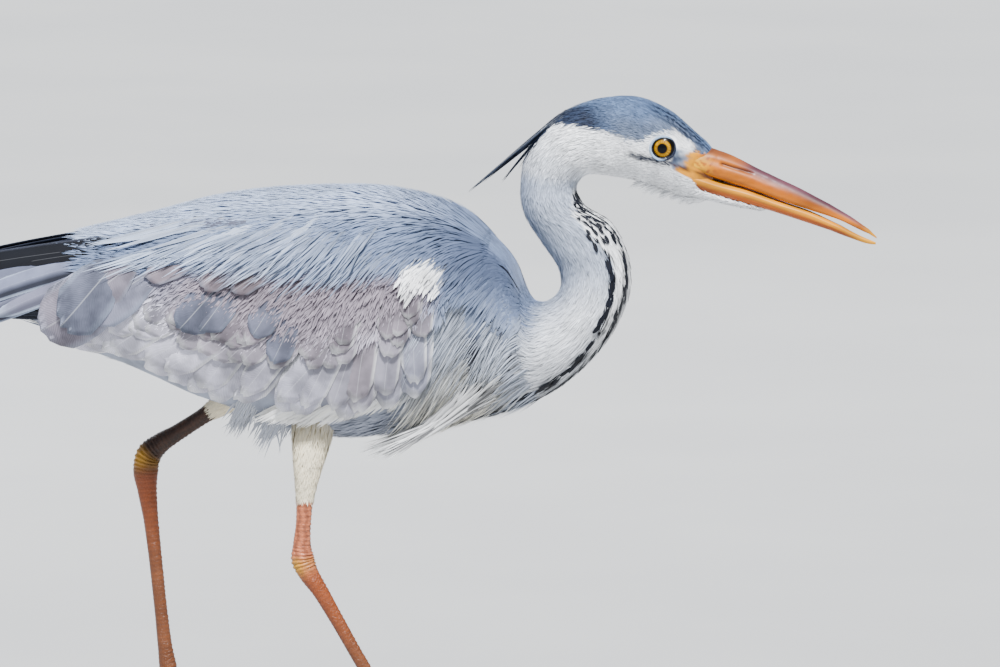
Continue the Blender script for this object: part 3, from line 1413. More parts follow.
@dataclass
class Leg:
    """A leg from inside the body to the claws: thigh, shank, ankle, tarsus and four toes."""

    side: Side
    rows: list
    ball: tuple[float, float, float]
    pitch: float
    hind_pitch: float
    ankle: int
    thigh_end: float
    shank: tuple[Array, Array]  # colour of the shank and of its streaks

    # Length, heading from straight ahead towards the midline, radius, claw length.
    TOES = {"inner": (66, 36, 3.0, 13), "middle": (89, 0, 3.3, 14), "outer": (74, -35, 3.0, 13),
            "hind": (50, 172, 3.2, 17)}
    NAIL = ((-0.12, 1.5), (0.1, 1.9), (0.4, 1.5), (0.75, 0.9), (1, 0.25))  # share of length, radius
    TOE_TAPER = 0.74
    TOE_SINK = 0.78
    BALL = (9.5, 8.2, 6.2)  # half length, width and height of the ball of the foot
    PLATE = 3.3  # length of a plate on the tarsus
    TOE_PLATE = 2.6
    LIMB_GRID, TOE_GRID, CLAW_GRID, BALL_GRID = (440, 28), (110, 20), (40, 20), (28, 32)  # rings, steps

    def limb(self) -> MeshData:
        """The limb's skin: plates down the front of the tarsus stand out by a sawtooth, knobs at the ankle.

        Returns:
            Its mesh.
        """
        form = TubeForm(self.rows)
        s, angle = form.grid(*self.LIMB_GRID)
        length = form.length(s, angle)
        bare = smooth(self.thigh_end - 0.2, self.thigh_end + 0.3, s)
        plate = ((length / self.PLATE) % 1.0) ** 2
        out = bare * (0.42 * smooth(0.1, 0.7, np.cos(angle)) * (plate - 0.4)
                      + 0.12 * np.sin(angle * 9) * np.sin(length * 2.2)) - (1 - bare) * 1.6
        out += 0.4 * lump(s, self.ankle, 0.8) * np.sin(length * 2.6 + 1.2 * np.sin(angle * 2))
        points = form.surface(s, angle, out)
        return shell(points, self.tint(points, s, angle, plate), 1)

    def tint(self, points: Array, s: Array, angle: Array, plate: Array) -> Array:
        """Bare skin by place: brown or flesh above the ankle, yellow at it, orange-brown below.

        Args:
            points, s, angle: places.
            plate: share of the way down each plate.
        Returns:
            Colours.
        """
        streak = smooth(-0.3, 0.6, np.sin(np.degrees(angle) * 0.11 + 0.9 * np.sin(points[..., 2] * 0.5))
                        + 0.5 * np.sin(s * 31))
        below = smooth(self.ankle + 0.3, self.ankle + 1.6, s)
        yellow = smooth(self.ankle - 0.5, self.ankle + 0.2, s) * (1 - below)
        tone = paint(
            Colour.THIGH,
            (blend(*self.shank, 0.55 * streak), smooth(self.thigh_end - 0.1, self.thigh_end + 0.1, s)),
            (Colour.ANKLE, yellow * (0.35 + 0.65 * smooth(-0.4, 0.6, -np.cos(angle)))),
            (Colour.TARSUS, below),
            (Colour.TARSUS_LOW, below * 0.6 * smooth(self.ankle + 2.0, self.ankle + 4.5, s)))
        return tone * (0.82 + 0.3 * plate[..., None])

    def toe_rows(self, toe: str) -> tuple[list, list, Array]:
        """Lays a toe from the ball down to the floor and along it.

        Args:
            toe: its name.
        Returns:
            Tube rows of the toe, tube rows of the claw, and the level direction across them.
        """
        length, heading, radius, claw = self.TOES[toe]
        turn = math.radians(heading) * -self.side.value
        pitch = math.radians(self.hind_pitch if toe == "hind" else self.pitch)
        centre = np.array(self.ball)
        slope = np.array([math.cos(turn) * math.cos(pitch), math.sin(turn),
                          -abs(math.cos(turn)) * math.sin(pitch)])
        level = np.array([math.cos(turn), math.sin(turn), 0])
        if pitch == 0:
            root, tip = centre + level * 2, centre + level * length
            spots = [(root + (tip - root) * share) * [1, 1, 0]
                     for share in (0, 0.12, 0.3, 0.42, 0.55, 0.68, 0.8, 1)]
        else:
            down = (centre[2] - radius) / -slope[2]
            bend, root = (centre + slope * down) * [1, 1, 0], centre + slope * 2
            tip = bend + level * max(length - down, 3)
            spots = [root + (bend - root) * share for share in (0, 0.25, 0.5, 0.75, 0.93)]
            spots += [bend + (tip - bend) * share for share in (0.15, 0.55, 1)]
        rows = []
        for k, spot in enumerate(spots):
            size = radius * (1 + (self.TOE_TAPER - 1) * k / (len(spots) - 1)) * (1.12 if k % 2 else 0.93)
            rows.append([spot[0], spot[1], max(spot[2], size * self.TOE_SINK), size, size])
        end = np.array(rows[-1][:3])
        nails = []
        for share, size in self.NAIL:
            spot = end + level * share * claw
            height = max(end[2] * (1 + 0.25 * math.sin(math.pi * share)) * (1 - 0.8 * share ** 2), size * 0.8)
            nails.append([spot[0], spot[1], height, size * 1.15, size * 0.85])
        return rows, nails, np.array([-level[1], level[0], 0])

    def toe(self, name: str) -> MeshData:
        """A toe's skin: pads below, overlapping plates on top.

        Args:
            name: which toe.
        Returns:
            Its mesh.
        """
        rows, _, across = self.toe_rows(name)
        form = TubeForm(rows, across)
        s, angle = form.grid(*self.TOE_GRID)
        top = smooth(0.0, 0.7, np.cos(angle))
        plate = ((form.length(s, angle) / self.TOE_PLATE) % 1.0) ** 2
        close = smooth(0, 0.15, s) * smooth(form.last, form.last - 0.25, s)
        points = form.surface(s, angle, 0.35 * top * (plate - 0.4) - (1 - close) * 1.2)
        tone = blend(Colour.TOE, Colour.TOE_TOP, top) * (0.8 + 0.35 * plate[..., None])
        return shell(points, tone, 1)

    def knob(self) -> MeshData:
        """The ball of the foot: an ellipsoid flattened on the floor."""
        rings, steps = self.BALL_GRID
        s, angle = round_grid(np.linspace(0.02, np.pi - 0.02, rings), steps)
        ahead, aside, up = self.BALL
        way = np.stack([-ahead * np.cos(s), aside * np.sin(s) * np.sin(angle),
                        up * np.sin(s) * np.cos(angle)], -1)
        return shell(np.maximum(way + self.ball, [-np.inf, -np.inf, 0]), Colour.BALL, 1)

    def meshes(self) -> list[MeshData]:
        """All of the leg's skin."""
        return [self.limb(), self.knob(), *(self.toe(name) for name in self.TOES)]

    def claws(self, finish: Material) -> Piece:
        """The four claws as one piece.

        Args:
            finish: its horn.
        Returns:
            The piece.
        """
        parts = []
        for toe in self.TOES:
            _, rows, across = self.toe_rows(toe)
            form = TubeForm(rows, across)
            points = form.surface(*form.grid(*self.CLAW_GRID), 0)
            parts.append(shell(points, Colour.CLAW))
        piece = MeshData.joined(parts).build(f"claws_{self.side.end}_horn", [finish])
        return declare(piece, Slot.CLAW, *(f"claw_{toe}_{self.side.end}" for toe in self.TOES))


RIGHT_LEG = Leg(
    Side.RIGHT,
    [[-24, -17, 246, 16, 11], [-27, -22, 226, 15, 11], [-29, -26, 208, 12.4, 10.4],
     [-30.5, -29, 192, 9, 8.6], [-32, -30.5, 174, 5.7, 5.5], [-33, -31, 156, 5, 4.7],
     [-34, -31, 142, 5.9, 5.6], [-33.4, -31, 132, 7.6, 6.8], [-29.5, -31.2, 123, 6.6, 6],
     [-22, -31.6, 112, 5.3, 4.8], [-10, -32, 92, 4.5, 4.1], [4, -32.6, 68, 4.2, 3.9],
     [20, -33.2, 42, 4.4, 4.1], [32, -33.7, 23, 4.9, 4.6], [39, -34, 11, 5.8, 5.8], [42, -34, 5, 5, 6]],
    (42, -34, 5), 0, 0, 7, 3.9, Colour.FLESH,
)
LEFT_LEG = Leg(
    Side.LEFT,
    [[-60, 16, 252, 14, 8], [-78, 22, 239, 12, 8.4], [-92.6, 27, 229, 8.8, 7.6],
     [-104, 30, 221.6, 6.2, 6], [-116, 31, 213.6, 5.3, 5], [-130, 31, 204.4, 5.6, 5.2],
     [-141, 31, 197.4, 6.8, 6.2], [-149, 31, 189.5, 8.3, 7], [-151.2, 31.3, 179, 8.4, 6.7],
     [-150.4, 31.7, 166, 6.6, 5.4], [-148, 32.2, 146, 5, 4.5], [-145, 32.8, 118, 4.4, 4],
     [-142, 33.3, 88, 4.3, 4], [-139, 33.7, 60, 4.9, 4.6], [-137, 34, 46, 5.8, 5.8], [-136, 34, 40, 5, 6]],
    (-136, 34, 40), 54, 52, 7, 2.8, Colour.UMBER,
)


# ---------------------------------------------------------------- eyes and bill

@dataclass
class Eye:
    """An eyeball with a bulging clear front."""

    side: Side
    ACROSS = 9.0
    DEEP = 6.6

    def build(self, finish: Material) -> Piece:
        """An ellipsoid about the level axis, with its front raised by a low bell.

        Args:
            finish: its material.
        Returns:
            The piece.
        """
        polar, turn = round_grid(np.linspace(0.01, np.pi - 0.01, 48), 64)
        reach = self.ACROSS * np.sin(polar)
        depth = -self.DEEP * np.cos(polar) + 0.25 * lump(reach, 0, 3.6) * (polar > np.pi / 2)
        turn = turn * self.side.value
        points = np.stack([EYE_MM[0] + reach * np.sin(turn), self.side.value * (EYE_MM[1] + depth),
                           EYE_MM[2] + reach * np.cos(turn)], -1)
        data = shell(points, np.ones(3))
        data.quads, data.tris = data.quads[:, ::-1], data.tris[:, ::-1]
        return declare(data.build(f"eyeball_{self.side.end}", [finish]), Slot.EYE, f"eye_{self.side.end}")


@dataclass
class Bill:
    """The bill's two halves, each between an upper and a lower line."""

    root: float = 218.0
    steps: int = 72
    rings: int = 240
    CULMEN = [(218, 408.6), (228, 406.9), (237, 404.4), (270, 390), (290, 381), (310, 371), (324, 363),
              (336, 355), (341, 350)]
    MOUTH = [(218, 392.5), (237, 385.5), (257, 380), (277, 373), (297, 366.8), (317, 360.5), (336, 352),
             (341, 349)]
    LOWER_MOUTH = [(218, 392), (237, 385), (257, 379.5), (277, 372.4), (297, 366), (317, 357.2), (330, 350.6),
                   (340, 346.6)]
    GONYS = [(218, 378), (250, 371), (270, 366), (290, 360), (310, 353.8), (324, 348.8), (336, 345.3),
             (340, 345)]
    WIDE = [(218, 12), (226, 11.3), (233, 10.5), (241, 9.4), (257, 7.8), (277, 6.3), (297, 4.9), (317, 3.4),
            (334, 1.8), (341, 0.5)]
    NOSTRIL = [(226, 400.5), (240, 396.6), (260, 390.4), (285, 379)]

    @staticmethod
    def line(rows: list, x: Array) -> Array:
        """Values of a smooth line of X and value at each ring's X, as a column."""
        return Spline(rows).at(np.interp(x[:, 0], [r[0] for r in rows], np.arange(len(rows))))[:, 1:2]

    def half(self, upper: list, lower: list, widest: float, tip: float,
             keel: float) -> tuple[Array, Array, Array]:
        """Points of one half: an oval section at each X, pointed at its keel.

        Args:
            upper, lower: height lines by X.
            widest: share of the way down where it is widest.
            tip: X of its end.
            keel: power of the sine on the outer edge; over 1 is pointed.
        Returns:
            Points, X and share of the way down.
        """
        x = self.root + (tip - self.root) * (1 - (1 - np.linspace(0, 1, self.rings)) ** 1.25)
        x, angle = round_grid(x, self.steps)
        high, low, breadth = (self.line(rows, x) for rows in (upper, lower, self.WIDE))
        middle = high + (low - high) * widest
        cosine, sine = np.cos(angle), np.sin(angle)
        z = middle + cosine * np.where(cosine > 0, high - middle, middle - low)
        power = np.where(cosine > 0 if widest > 0.5 else cosine < 0, keel, 0.8)
        y = np.sign(sine) * np.abs(sine) ** power * breadth
        return np.stack([x, y, z], -1), x, (high - z) / np.maximum(high - low, 1e-6)

    def upper(self, finish: Material) -> Piece:
        """Upper half, with the nasal groove, the slit of the nostril and a ridge along the culmen.

        Args:
            finish: its horn.
        Returns:
            The piece.
        """
        points, x, down = self.half(self.CULMEN, self.MOUTH, 0.72, 341, 1.12)
        side, z = smooth(1.0, 3.0, np.abs(points[..., 1])), points[..., 2]
        dent = lump(z, along(self.NOSTRIL, x), 2.0) * band(x, 226, 236, 262, 288) * 0.7
        slit = lump(z, along([(238, 397.2), (262, 389.8)], x), 0.75) * band(x, 238, 241, 257, 262)
        points[..., 1] -= np.sign(points[..., 1]) * side * (dent + 1.5 * slit)
        spot = 2.0 * np.sin(z * 0.9 + 1) + 1.5 * np.sin(z * 2.3 + x * 0.8)
        blot = smooth(0.1, 0.7, np.sin(z * 1.1 + 2 * np.sin(x * 0.5)) * np.sin(x * 0.7 + z * 0.4))
        tone = paint(
            Colour.LORES, (Colour.ORANGE, smooth(221, 229, x + spot)),
            (Colour.BLOT, 0.5 * blot * smooth(244, 232, x)),
            (Colour.AMBER, 0.6 * (1 - blot) * smooth(238, 224, x) * smooth(0.15, 0.4, down)),
            (Colour.RIDGE, 0.8 * smooth(0.32, 0.05, down) * smooth(219, 224, x + spot) * smooth(258, 240, x)),
            (Colour.RUST, 0.7 * smooth(0.85, 0.45, down) * band(x, 244, 262, 300, 332)),
            (Colour.DUSK, 0.9 * smooth(0.50, 0.12, down) * band(x, 244, 262, 322, 340)),
            (Colour.BILL_TIP, 0.6 * smooth(330, 339, x)), (Colour.BILL_EDGE, 0.8 * smooth(0.8, 0.97, down)),
            (Colour.MOUTH, 0.95 * smooth(0.88, 0.96, down) * smooth(250, 240, x)),
            (Colour.SLIT, np.clip(slit * side * 1.3, 0, 1)))
        return declare(shell(points, tone).build("bill_upper_horn", [finish]), Slot.BILL, "bill_upper")

    def lower(self, finish: Material) -> Piece:
        """Lower half, yellow along its cutting edge, with a shallow groove along each ramus.

        Args:
            finish: its horn.
        Returns:
            The piece.
        """
        points, x, down = self.half(self.LOWER_MOUTH, self.GONYS, 0.3, 340.4, 1.05)
        groove = lump(down, 0.55, 0.12) * band(x, 228, 240, 270, 300)
        points[..., 1] -= np.sign(points[..., 1]) * 0.45 * groove * smooth(1.0, 3.0, np.abs(points[..., 1]))
        tone = paint(Colour.LOWER, (Colour.YELLOW, smooth(0.62, 0.38, down)),
                     (Colour.LOWER_FOOT, 0.5 * smooth(0.6, 0.95, down) * smooth(250, 280, x)),
                     (Colour.LOWER_TIP, smooth(318, 334, x)))
        return declare(shell(points, tone).build("bill_lower_horn", [finish]), Slot.BILL, "bill_lower")


# ---------------------------------------------------------------- coats

@dataclass(frozen=True)
class Tract:
    """Small feathers spread over the body between two places and two angles in degrees."""

    name: str
    first: float
    last: float
    row_gap: float
    gap: float
    length: list[tuple[float, float]]  # by place
    width: float
    rise: float  # of the tips over the skin
    vane: Vane
    angles: tuple[float, float] = (0.0, 180.0)
    amount: float = 0.08
    tip: float = 1.06
    turn: float = 0.10
    root: float = 0.68


@dataclass(frozen=True)
class Row:
    """Large feathers by the line that their tips lie on, seen from the side; lists run evenly along it."""

    edge: list[tuple[float, float]]
    slope: list[float]  # degrees below straight back
    inset: float
    count: int
    length: list[float]
    width: list[float]
    low: float
    high: float
    roll: float = 0.07
    bend: float = 0.0
    loose: float = 0.25
    stray: float = 0.18

    def laid(self, rng: Rng) -> tuple[Feathers, Array, Array]:
        """Lays the row on both sides.

        Args:
            rng: its irregularities.
        Returns:
            The feathers, with the X and Z of their middles.
        """
        total = 2 * self.count
        side = sides(self.count)
        place = np.tile(np.arange(self.count) + 0.5, 2) + rng.uniform(-self.loose, self.loose, total)
        share = place / self.count

        def even(values: list[float]) -> Array:
            """A list's values, spread evenly along the row."""
            return np.interp(share, np.linspace(0, 1, len(values)), values)

        slope = np.radians(even(self.slope)) + rng.normal(0, self.stray * self.loose, total)
        length = even(self.length) * rng.uniform(0.94, 1.06, total)
        way = np.stack([np.cos(slope), np.sin(slope)], -1)
        tip = Spline(self.edge).at(share * (len(self.edge) - 1)) + way * self.inset
        root = tip + way * length[:, None]
        width = even(self.width) * rng.uniform(0.93, 1.07, total)
        bend = self.bend * rng.uniform(0.3, 1.7, total)
        feathers = Feathers(BODY, *BODY.beside(root[:, 0], root[:, 1]), side, length, width, bend=bend,
                            low=self.low, high=self.high + rng.uniform(-0.3, 0.3, total), roll=self.roll)
        middle = tip + way * length[:, None] * 0.35
        return feathers.aimed(slope - self.bend * 0.5), middle[:, 0], middle[:, 1]


@dataclass(frozen=True)
class Spray:
    """Feathers with tips of their own, off the body, on both sides."""

    width: Array | float
    face: tuple[float, float, float]  # the way the outer faces look at the tip
    low: float  # least and most height of the roots over the body
    high: float
    spread: tuple = (2, 2)  # scatter of roots and of tips, in mm
    arch: float = 0.0  # outward bow
    roll: float = 0.0  # tilt of the vane
    by_place: bool = False  # roots are place numbers and angles, not x and z seen from the side
    sag: float = 0.0  # radians by which they leave their roots flatter than straight to the tips

    def flung(self, roots: Array, tips: Array, rng: Rng) -> Feathers:
        """Lays the feathers from their roots to their tips.

        Args:
            roots: two numbers each.
            tips: x, y, z of each tip, with y towards the side.
            rng: source of the scatter.
        Returns:
            The feathers.
        """
        total = 2 * len(roots)
        root = np.tile(roots, (2, 1)) + rng.normal(0, 1, (total, 2)) * self.spread[0]
        tip = np.tile(tips, (2, 1)) + rng.normal(0, self.spread[1], (total, 3)) * [1, 0.6, 1]
        tip[:, 1] = np.maximum(tip[:, 1], 0.5)
        if self.by_place:
            s, angle = root[:, 0], np.abs(root[:, 1])
            root = BODY.surface(s, angle, 0)[:, [0, 2]]
        else:
            s, angle = BODY.beside(root[:, 0], root[:, 1])
        back = root - tip[:, [0, 2]]
        facing = unit(np.broadcast_to(np.array(self.face, float), tip.shape))
        width = np.tile(self.width, 2) if np.ndim(self.width) else self.width
        feathers = Feathers(BODY, s, angle, sides(len(roots)),
                            np.hypot(back[:, 0], back[:, 1]), width,
                            low=rng.uniform(self.low, self.high, total), high=self.high, roll=self.roll,
                            tip=tip, facing=facing, arch=self.arch)
        return feathers.aimed(np.arctan2(back[:, 1], back[:, 0]) - self.sag)


def clear_of_face(feathers: Feathers) -> Array:
    """True where a feather keeps off the eye, the bare lores, the gape and the bill.

    Args:
        feathers: those that are laid.
    Returns:
        One truth each.
    """
    root = BODY.surface(feathers.s, feathers.angle, 0)
    away = from_eye(root)
    eye = (away < LID_REACH) & (np.abs(root[:, 1]) > 6)
    ahead = (root[:, 0] > EYE_MM[0]) & (away < 8.0 + feathers.length) & (np.abs(root[:, 2] - EYE_MM[2]) < 8)
    return ~(eye | ahead & (feathers.s > 20) | (Markings.bare(root) > 0.5))


def coat_tint(feathers: Feathers, rng: Rng, tract: Tract) -> Tint:
    """Colours of plain feathers: the marking under each one's middle, a little paler at the tip.

    Args:
        feathers: where they are.
        rng: of the differences.
        tract: how large those are.
    Returns:
        The feathers' tint.
    """
    line = feathers.directions(feathers.s, feathers.angle, feathers.turn)
    s = feathers.s + line[2] * feathers.length * 0.75 + rng.normal(0, 0.04, len(feathers.s))
    angle = np.abs(feathers.angle + line[3] * feathers.length * 0.75 + rng.normal(0, 0.03, len(s)))
    tone = wide(MARKS.tint(s, angle * feathers.side)) * vary(rng, len(s), tract.amount)

    def tint(reach: Array, b: Array) -> Array:
        """Colour by share of length, the same all across."""
        return tone * (tract.root + (tract.tip - tract.root) * reach[..., None])

    return tint


@dataclass
class Plumage:
    """All the bird's feathers: the small tracts first, then the wings, then what stands out of them."""

    finish: dict[str, Material]

    SMALL = Vane(rows=2, base=0.35, point=0.8, camber=0.10)
    SOFT = Vane(point=0.9)
    PLUME = Vane(rows=6, base=0.35, taper=1.5, camber=0.12, stiff=0.25)
    STRAND = Vane(rows=10, point=0.9, camber=0.15)
    FLUFF = Vane(base=0.5, point=0.6, taper=3, ragged=0.25)
    BROAD = Vane(rows=10, columns=8, base=0.5, point=0.3, taper=12, round=0.24, ragged=0.06, solid=0.3,
                 stiff=0.2, camber=0.03)
    LONG = Vane(rows=14, columns=8, base=0.25, point=0.5, taper=5, round=0.1, ragged=0.01, solid=0.35,
                camber=0.07)

    TRACTS = (
        Tract("face_feathers", 18.3, 21.9, 0.85, 0.75, [(18, 5.5), (20, 4.2), (22, 3.0)], 1.0, 0.8, SMALL,
              amount=0.14, tip=1.15),
        Tract("crown_feathers", 14.9, 18.5, 1.4, 0.95, [(15, 9.5), (18.5, 6.5)], 1.3, 1.1, SOFT, amount=0.2,
              tip=1.15),
        Tract("neck_feathers", 8.7, 15.1, 1.8, 1.2, [(8.7, 18), (12, 13), (15, 10)], 1.5, 1.4, SOFT,
              amount=0.12, tip=1.12),
        Tract("body_feathers", 0.6, 8.9, 4.0, 2.6, [(0, 20), (4, 18), (9, 18)], 4.0, 2.8, SOFT, amount=0.12),
        Tract("mantle_feathers", 2.6, 8.9, 2.5, 1.35, [(2, 32), (6, 26), (9.3, 16)], 2.6, 1.4, SOFT,
              angles=(0, 64), tip=1.12, turn=0.06, root=0.96),
        Tract("lesser_coverts", 2.7, 7.2, 2.6, 1.8, [(2, 17), (6, 13)], 2.9, 1.6, SOFT,
              angles=(38, 116), amount=0.13, tip=1.3, turn=0.2),
    )
    TRACT_JITTER = 0.45
    EDGE_SHARE = 0.9  # how near to white the rims of coverts and secondaries are
    MANTLE_SLOPE = [(-176, 6), (-60, 14), (0, 24), (60, 38), (100, 50)]
    LESSER_SLOPE = [(-200, 24), (-100, 36), (0, 60), (50, 78)]

    REAR_EDGE = [(-186, 337), (-150, 334), (-120, 330), (-92, 322), (-66, 316)]
    SCAPULAR_SLOPE = [12, 16, 24, 34, 42, 48]
    WING_SLOPE = [20, 24, 34, 48, 62, 72, 80]
    # Rows by inset, count, lengths, widths, heights, bend and looseness; CAD nodes; slot; brightness at the
    # root; strength of the rim.
    WING_ROWS = {
        "secondaries": ([(0, 17, [96, 88, 74], [25, 24, 22], 3.0, 6.6, 0.2, 0.4)],
                        "wing_secondaries", Slot.FLIGHT, 0.45, 0.9),
        "greater_coverts": ([(10, 16, [80, 76, 64], [24, 21, 18], 4.0, 7.6, 0.2, 0.45)],
                            "wing_coverts", Slot.PLUMAGE, 0.55, 0.9),
        "median_coverts": ([(inset, count, [48, 48, 36], [20, 18, 15], 4.8, 8.2, 0.12, 0.4)
                            for inset, count in ((41, 17), (54, 21))], None, Slot.PLUMAGE, 0.5, 0.85),
    }
    # Single feathers: x and z of the tip, slope, length, width, tone, share of plain covert, heights.
    SINGLES = (((-204, 279), 38, 84, 36, Colour.FAWN, 0.5, 9, 12),
               ((-190, 289), 46, 60, 32, Colour.FRESH, 0.35, 7, 14.5),
               ((-172, 292), 36, 66, 28, Colour.COVERT, 0.6, 6, 11.5),
               ((-109, 287), 48, 52, 26, Colour.FRESH, 0.35, 5, 9),
               ((-94, 287), 54, 46, 22, Colour.FRESH, 0.45, 5, 9.2),
               ((-59, 284), 60, 40, 20, Colour.FRESH, 0.55, 5, 9),
               ((-46, 267), 68, 44, 19, Colour.FRESH, 0.5, 5, 9),
               ((-133, 318), 22, 44, 15, Colour.FAWN, 0.2, 7, 10),
               ((-96, 316), 26, 44, 17, Colour.FAWN, 0.1, 7, 10),
               ((-74, 313), 32, 40, 15, Colour.FAWN, 0.1, 7, 10))
    PATCH_EDGE = [(34, 317), (41, 305), (49, 314), (57, 309), (66, 318)]
    PATCH_END = 63
    # Place number and angle of the root, tip, count and width of each group of crest plumes.
    CRESTS = (((17.5, 0.3), (71, 1.5, 373), 5, 3.4), ((17.35, 0.4), (78, 2.5, 379), 3, 3.0),
              ((16.95, 0.4), (94, 4, 381), 4, 2.6), ((16.6, 0.3), (106.5, 3, 379), 7, 2.4))
    # Ends of the roots' line, ends of the tips' line, count, width and height of the black quills.
    PRIMARIES = (((-118, 300), (-100, 322), (-246, 22, 291), (-338, 12, 298), 9, 20, 0.0),
                 ((-108, 336), (-80, 347), (-240, 24, 308), (-322, 8, 304), 7, 18, 5.0))
    LOCK_ENDS = np.array([[5, 203], [11, 200], [19, 200], [30, 206], [42, 213], [54, 220]])

    def build(self) -> None:
        """Every coat piece in turn."""
        for seed, tract in enumerate(self.TRACTS):
            self.spread(tract, np.random.default_rng(SEED + seed))
        for seed, name in enumerate(self.WING_ROWS):
            self.wings(name, np.random.default_rng(SEED + 40 + seed))
        steps = {self.singles: 50, self.scapulars: 60, self.hind_quills: 70, self.breast: 80,
                 self.streaks: 85, self.vent: 90, self.crest: 95, self.thighs: 97, self.chin: 98}
        for step, seed in steps.items():
            step(np.random.default_rng(SEED + seed))

    def spread(self, tract: Tract, rng: Rng) -> None:
        """Builds one tract of small feathers.

        Args:
            tract: what it is.
            rng: of its irregularities.
        """
        s, angle, side = scatter(tract.first, tract.last, tract.row_gap, tract.gap, self.TRACT_JITTER, rng,
                                 tract.angles)
        count, mantle, lesser = len(s), tract.name == "mantle_feathers", tract.name == "lesser_coverts"
        base, relief = Layers.skin(s, angle), Layers.relief(s, angle)
        top = relief + 0.8 * mantle if mantle or lesser else base + tract.rise
        feathers = Feathers(
            BODY, s, angle, side, along(tract.length, s) * rng.uniform(0.75, 1.2, count),
            tract.width * rng.uniform(0.8, 1.2, count), bend=rng.normal(0, 0.12, count),
            low=base - 0.2 + 3.0 * (mantle or lesser),
            high=top + tract.rise * rng.uniform(-0.22, 0.16, count),
            roll=rng.normal(0, 0.06, count),
        )
        spot = BODY.surface(s, angle, BODY.LAYER)
        x, z = spot[:, 0], spot[:, 2]
        keep = clear_of_face(feathers)
        if tract.name == "body_feathers":
            keep &= relief < 6
        elif mantle:
            feathers.aimed(np.radians(along(self.MANTLE_SLOPE, x)))
            feathers.turn *= smooth(0.15, 0.9, angle)
        elif lesser:
            feathers.aimed(np.radians(along(self.LESSER_SLOPE, x)))
            keep &= (z - along(Layers.WING_EDGE, x) > 52) & (z < along(Layers.SCAPULAR_EDGE, x) + 12)
            keep &= (x > -178) & (x < 66)
        feathers.turn = feathers.turn + rng.normal(0, tract.turn, count)
        feathers = feathers.kept(keep)
        coat = Coat(tract.name, rng)
        coat.add(feathers, tract.vane, coat_tint(feathers, rng, tract))
        coat.build(self.finish["coat"], Slot.PLUMAGE, *(["mantle"] if mantle else []))

    def wings(self, name: str, rng: Rng) -> None:
        """One range of coverts or secondaries of both wings.

        Args:
            name: which.
            rng: of its irregularities.
        """
        rows, stem, slot, root, rim = self.WING_ROWS[name]
        coat = Coat(name, rng)
        for *numbers, bend, loose in rows:
            row = Row(Layers.WING_EDGE, self.WING_SLOPE, *numbers, bend=bend, loose=loose)
            feathers, x, z = row.laid(rng)
            tone = MARKS.wing(x, z)
            edge = wide(blend(tone, Colour.WHITE, self.EDGE_SHARE))
            coat.dress(feathers, self.BROAD, tone, edge, 0.13, rim, root)
        coat.build(self.finish["covert"], slot, *(both(stem) if stem else []))

    def singles(self, rng: Rng) -> None:
        """Single feathers that stand out by tone, worn brown or fresh slate, and the white shoulder patch.

        Args:
            rng: of their irregularities.
        """
        coat = Coat("odd_coverts", rng)
        for tip, slope, length, width, tone, mixed, low, high in self.SINGLES:
            row = Row([tip, (tip[0] + 1, tip[1]), (tip[0] + 2, tip[1])], [slope], 0, 1, [length], [width],
                      low, high, bend=0.15, loose=0.05)
            tone = blend(tone, Colour.COVERT, mixed)
            coat.dress(row.laid(rng)[0], self.BROAD, tone, blend(tone, Colour.SILVER, 0.75), 0.04, 0.4, 0.9)
        for inset in (0, 3.5, 7, 10.5):
            row = Row(self.PATCH_EDGE, [62, 74], inset, 16, [15, 13], [5.5, 5.5], 4.5, 11.2,
                      roll=0.1, loose=0.5)
            feathers, x, _ = row.laid(rng)
            feathers = feathers.kept(x < self.PATCH_END)
            coat.dress(feathers, self.PLUME, Colour.WHITE, Colour.WHITE, 0.01, 0.5, 0.97)
        coat.build(self.finish["covert"], Slot.PLUMAGE)

    def scapulars(self, rng: Rng) -> None:
        """Long narrow silvery plumes that hang over the top of the wings.

        Args:
            rng: of their irregularities.
        """
        coat = Coat("scapular_plumes", rng)
        for k in range(10):
            row = Row(Layers.SCAPULAR_EDGE[:-1], self.SCAPULAR_SLOPE, 4.0 * k - 2, 72, [104, 92, 72, 50, 36],
                      [4.6, 3.6, 2.7], 5.8, 9.6 + 0.1 * k, roll=0.06, loose=0.9, stray=0.08)
            feathers, x, z = row.laid(rng)
            feathers.length *= rng.uniform(0.7, 1.06, len(x))
            keep = (np.degrees(feathers.angle) > 20) & ((x < 5) | (z < 336 - 0.1 * x))
            keep &= (x < 24) | (z > 334 - 0.1 * x)
            feathers, x, z = feathers.kept(keep), x[keep], z[keep]
            feathers.bend = rng.normal(0.06, 0.05, len(x))
            pale = smooth(0.3, 0.95, rng.random(len(x))) * smooth(70, 10, x)
            tone = paint(Colour.MANTLE, (Colour.SHOULDER, smooth(-20, 50, x) * 0.8),
                         (Colour.SILVER, pale * along([(-150, 0.8), (-105, 0.5), (-70, 0.26), (0, 0.26)], x)),
                         (Colour.FAWN, 0.8 * lump(np.hypot(x + 63, 2 * (z - 325)), 0, 22)))
            coat.dress(feathers, self.PLUME, tone, Colour.SILVER, 0.16, 0.25, 0.5)
        for inset in (0, 9):
            row = Row(self.REAR_EDGE, [14, 18, 24, 30, 36], inset, 12, [96, 88, 70], [6.6, 6, 5], 7.6, 11.0,
                      roll=0.08, bend=0.1, loose=0.5, stray=0.12)
            feathers = row.laid(rng)[0]
            feathers = feathers.kept(np.degrees(feathers.angle) > 22)
            tone = blend(Colour.SILVER, Colour.SHOULDER, rng.uniform(0.15, 0.8, len(feathers.s)))
            coat.dress(feathers, self.PLUME, tone, Colour.SILVER, 0.06, 0.6, 0.6)
        coat.build(self.finish["plume"], Slot.PLUMAGE, *both("scapulars"))

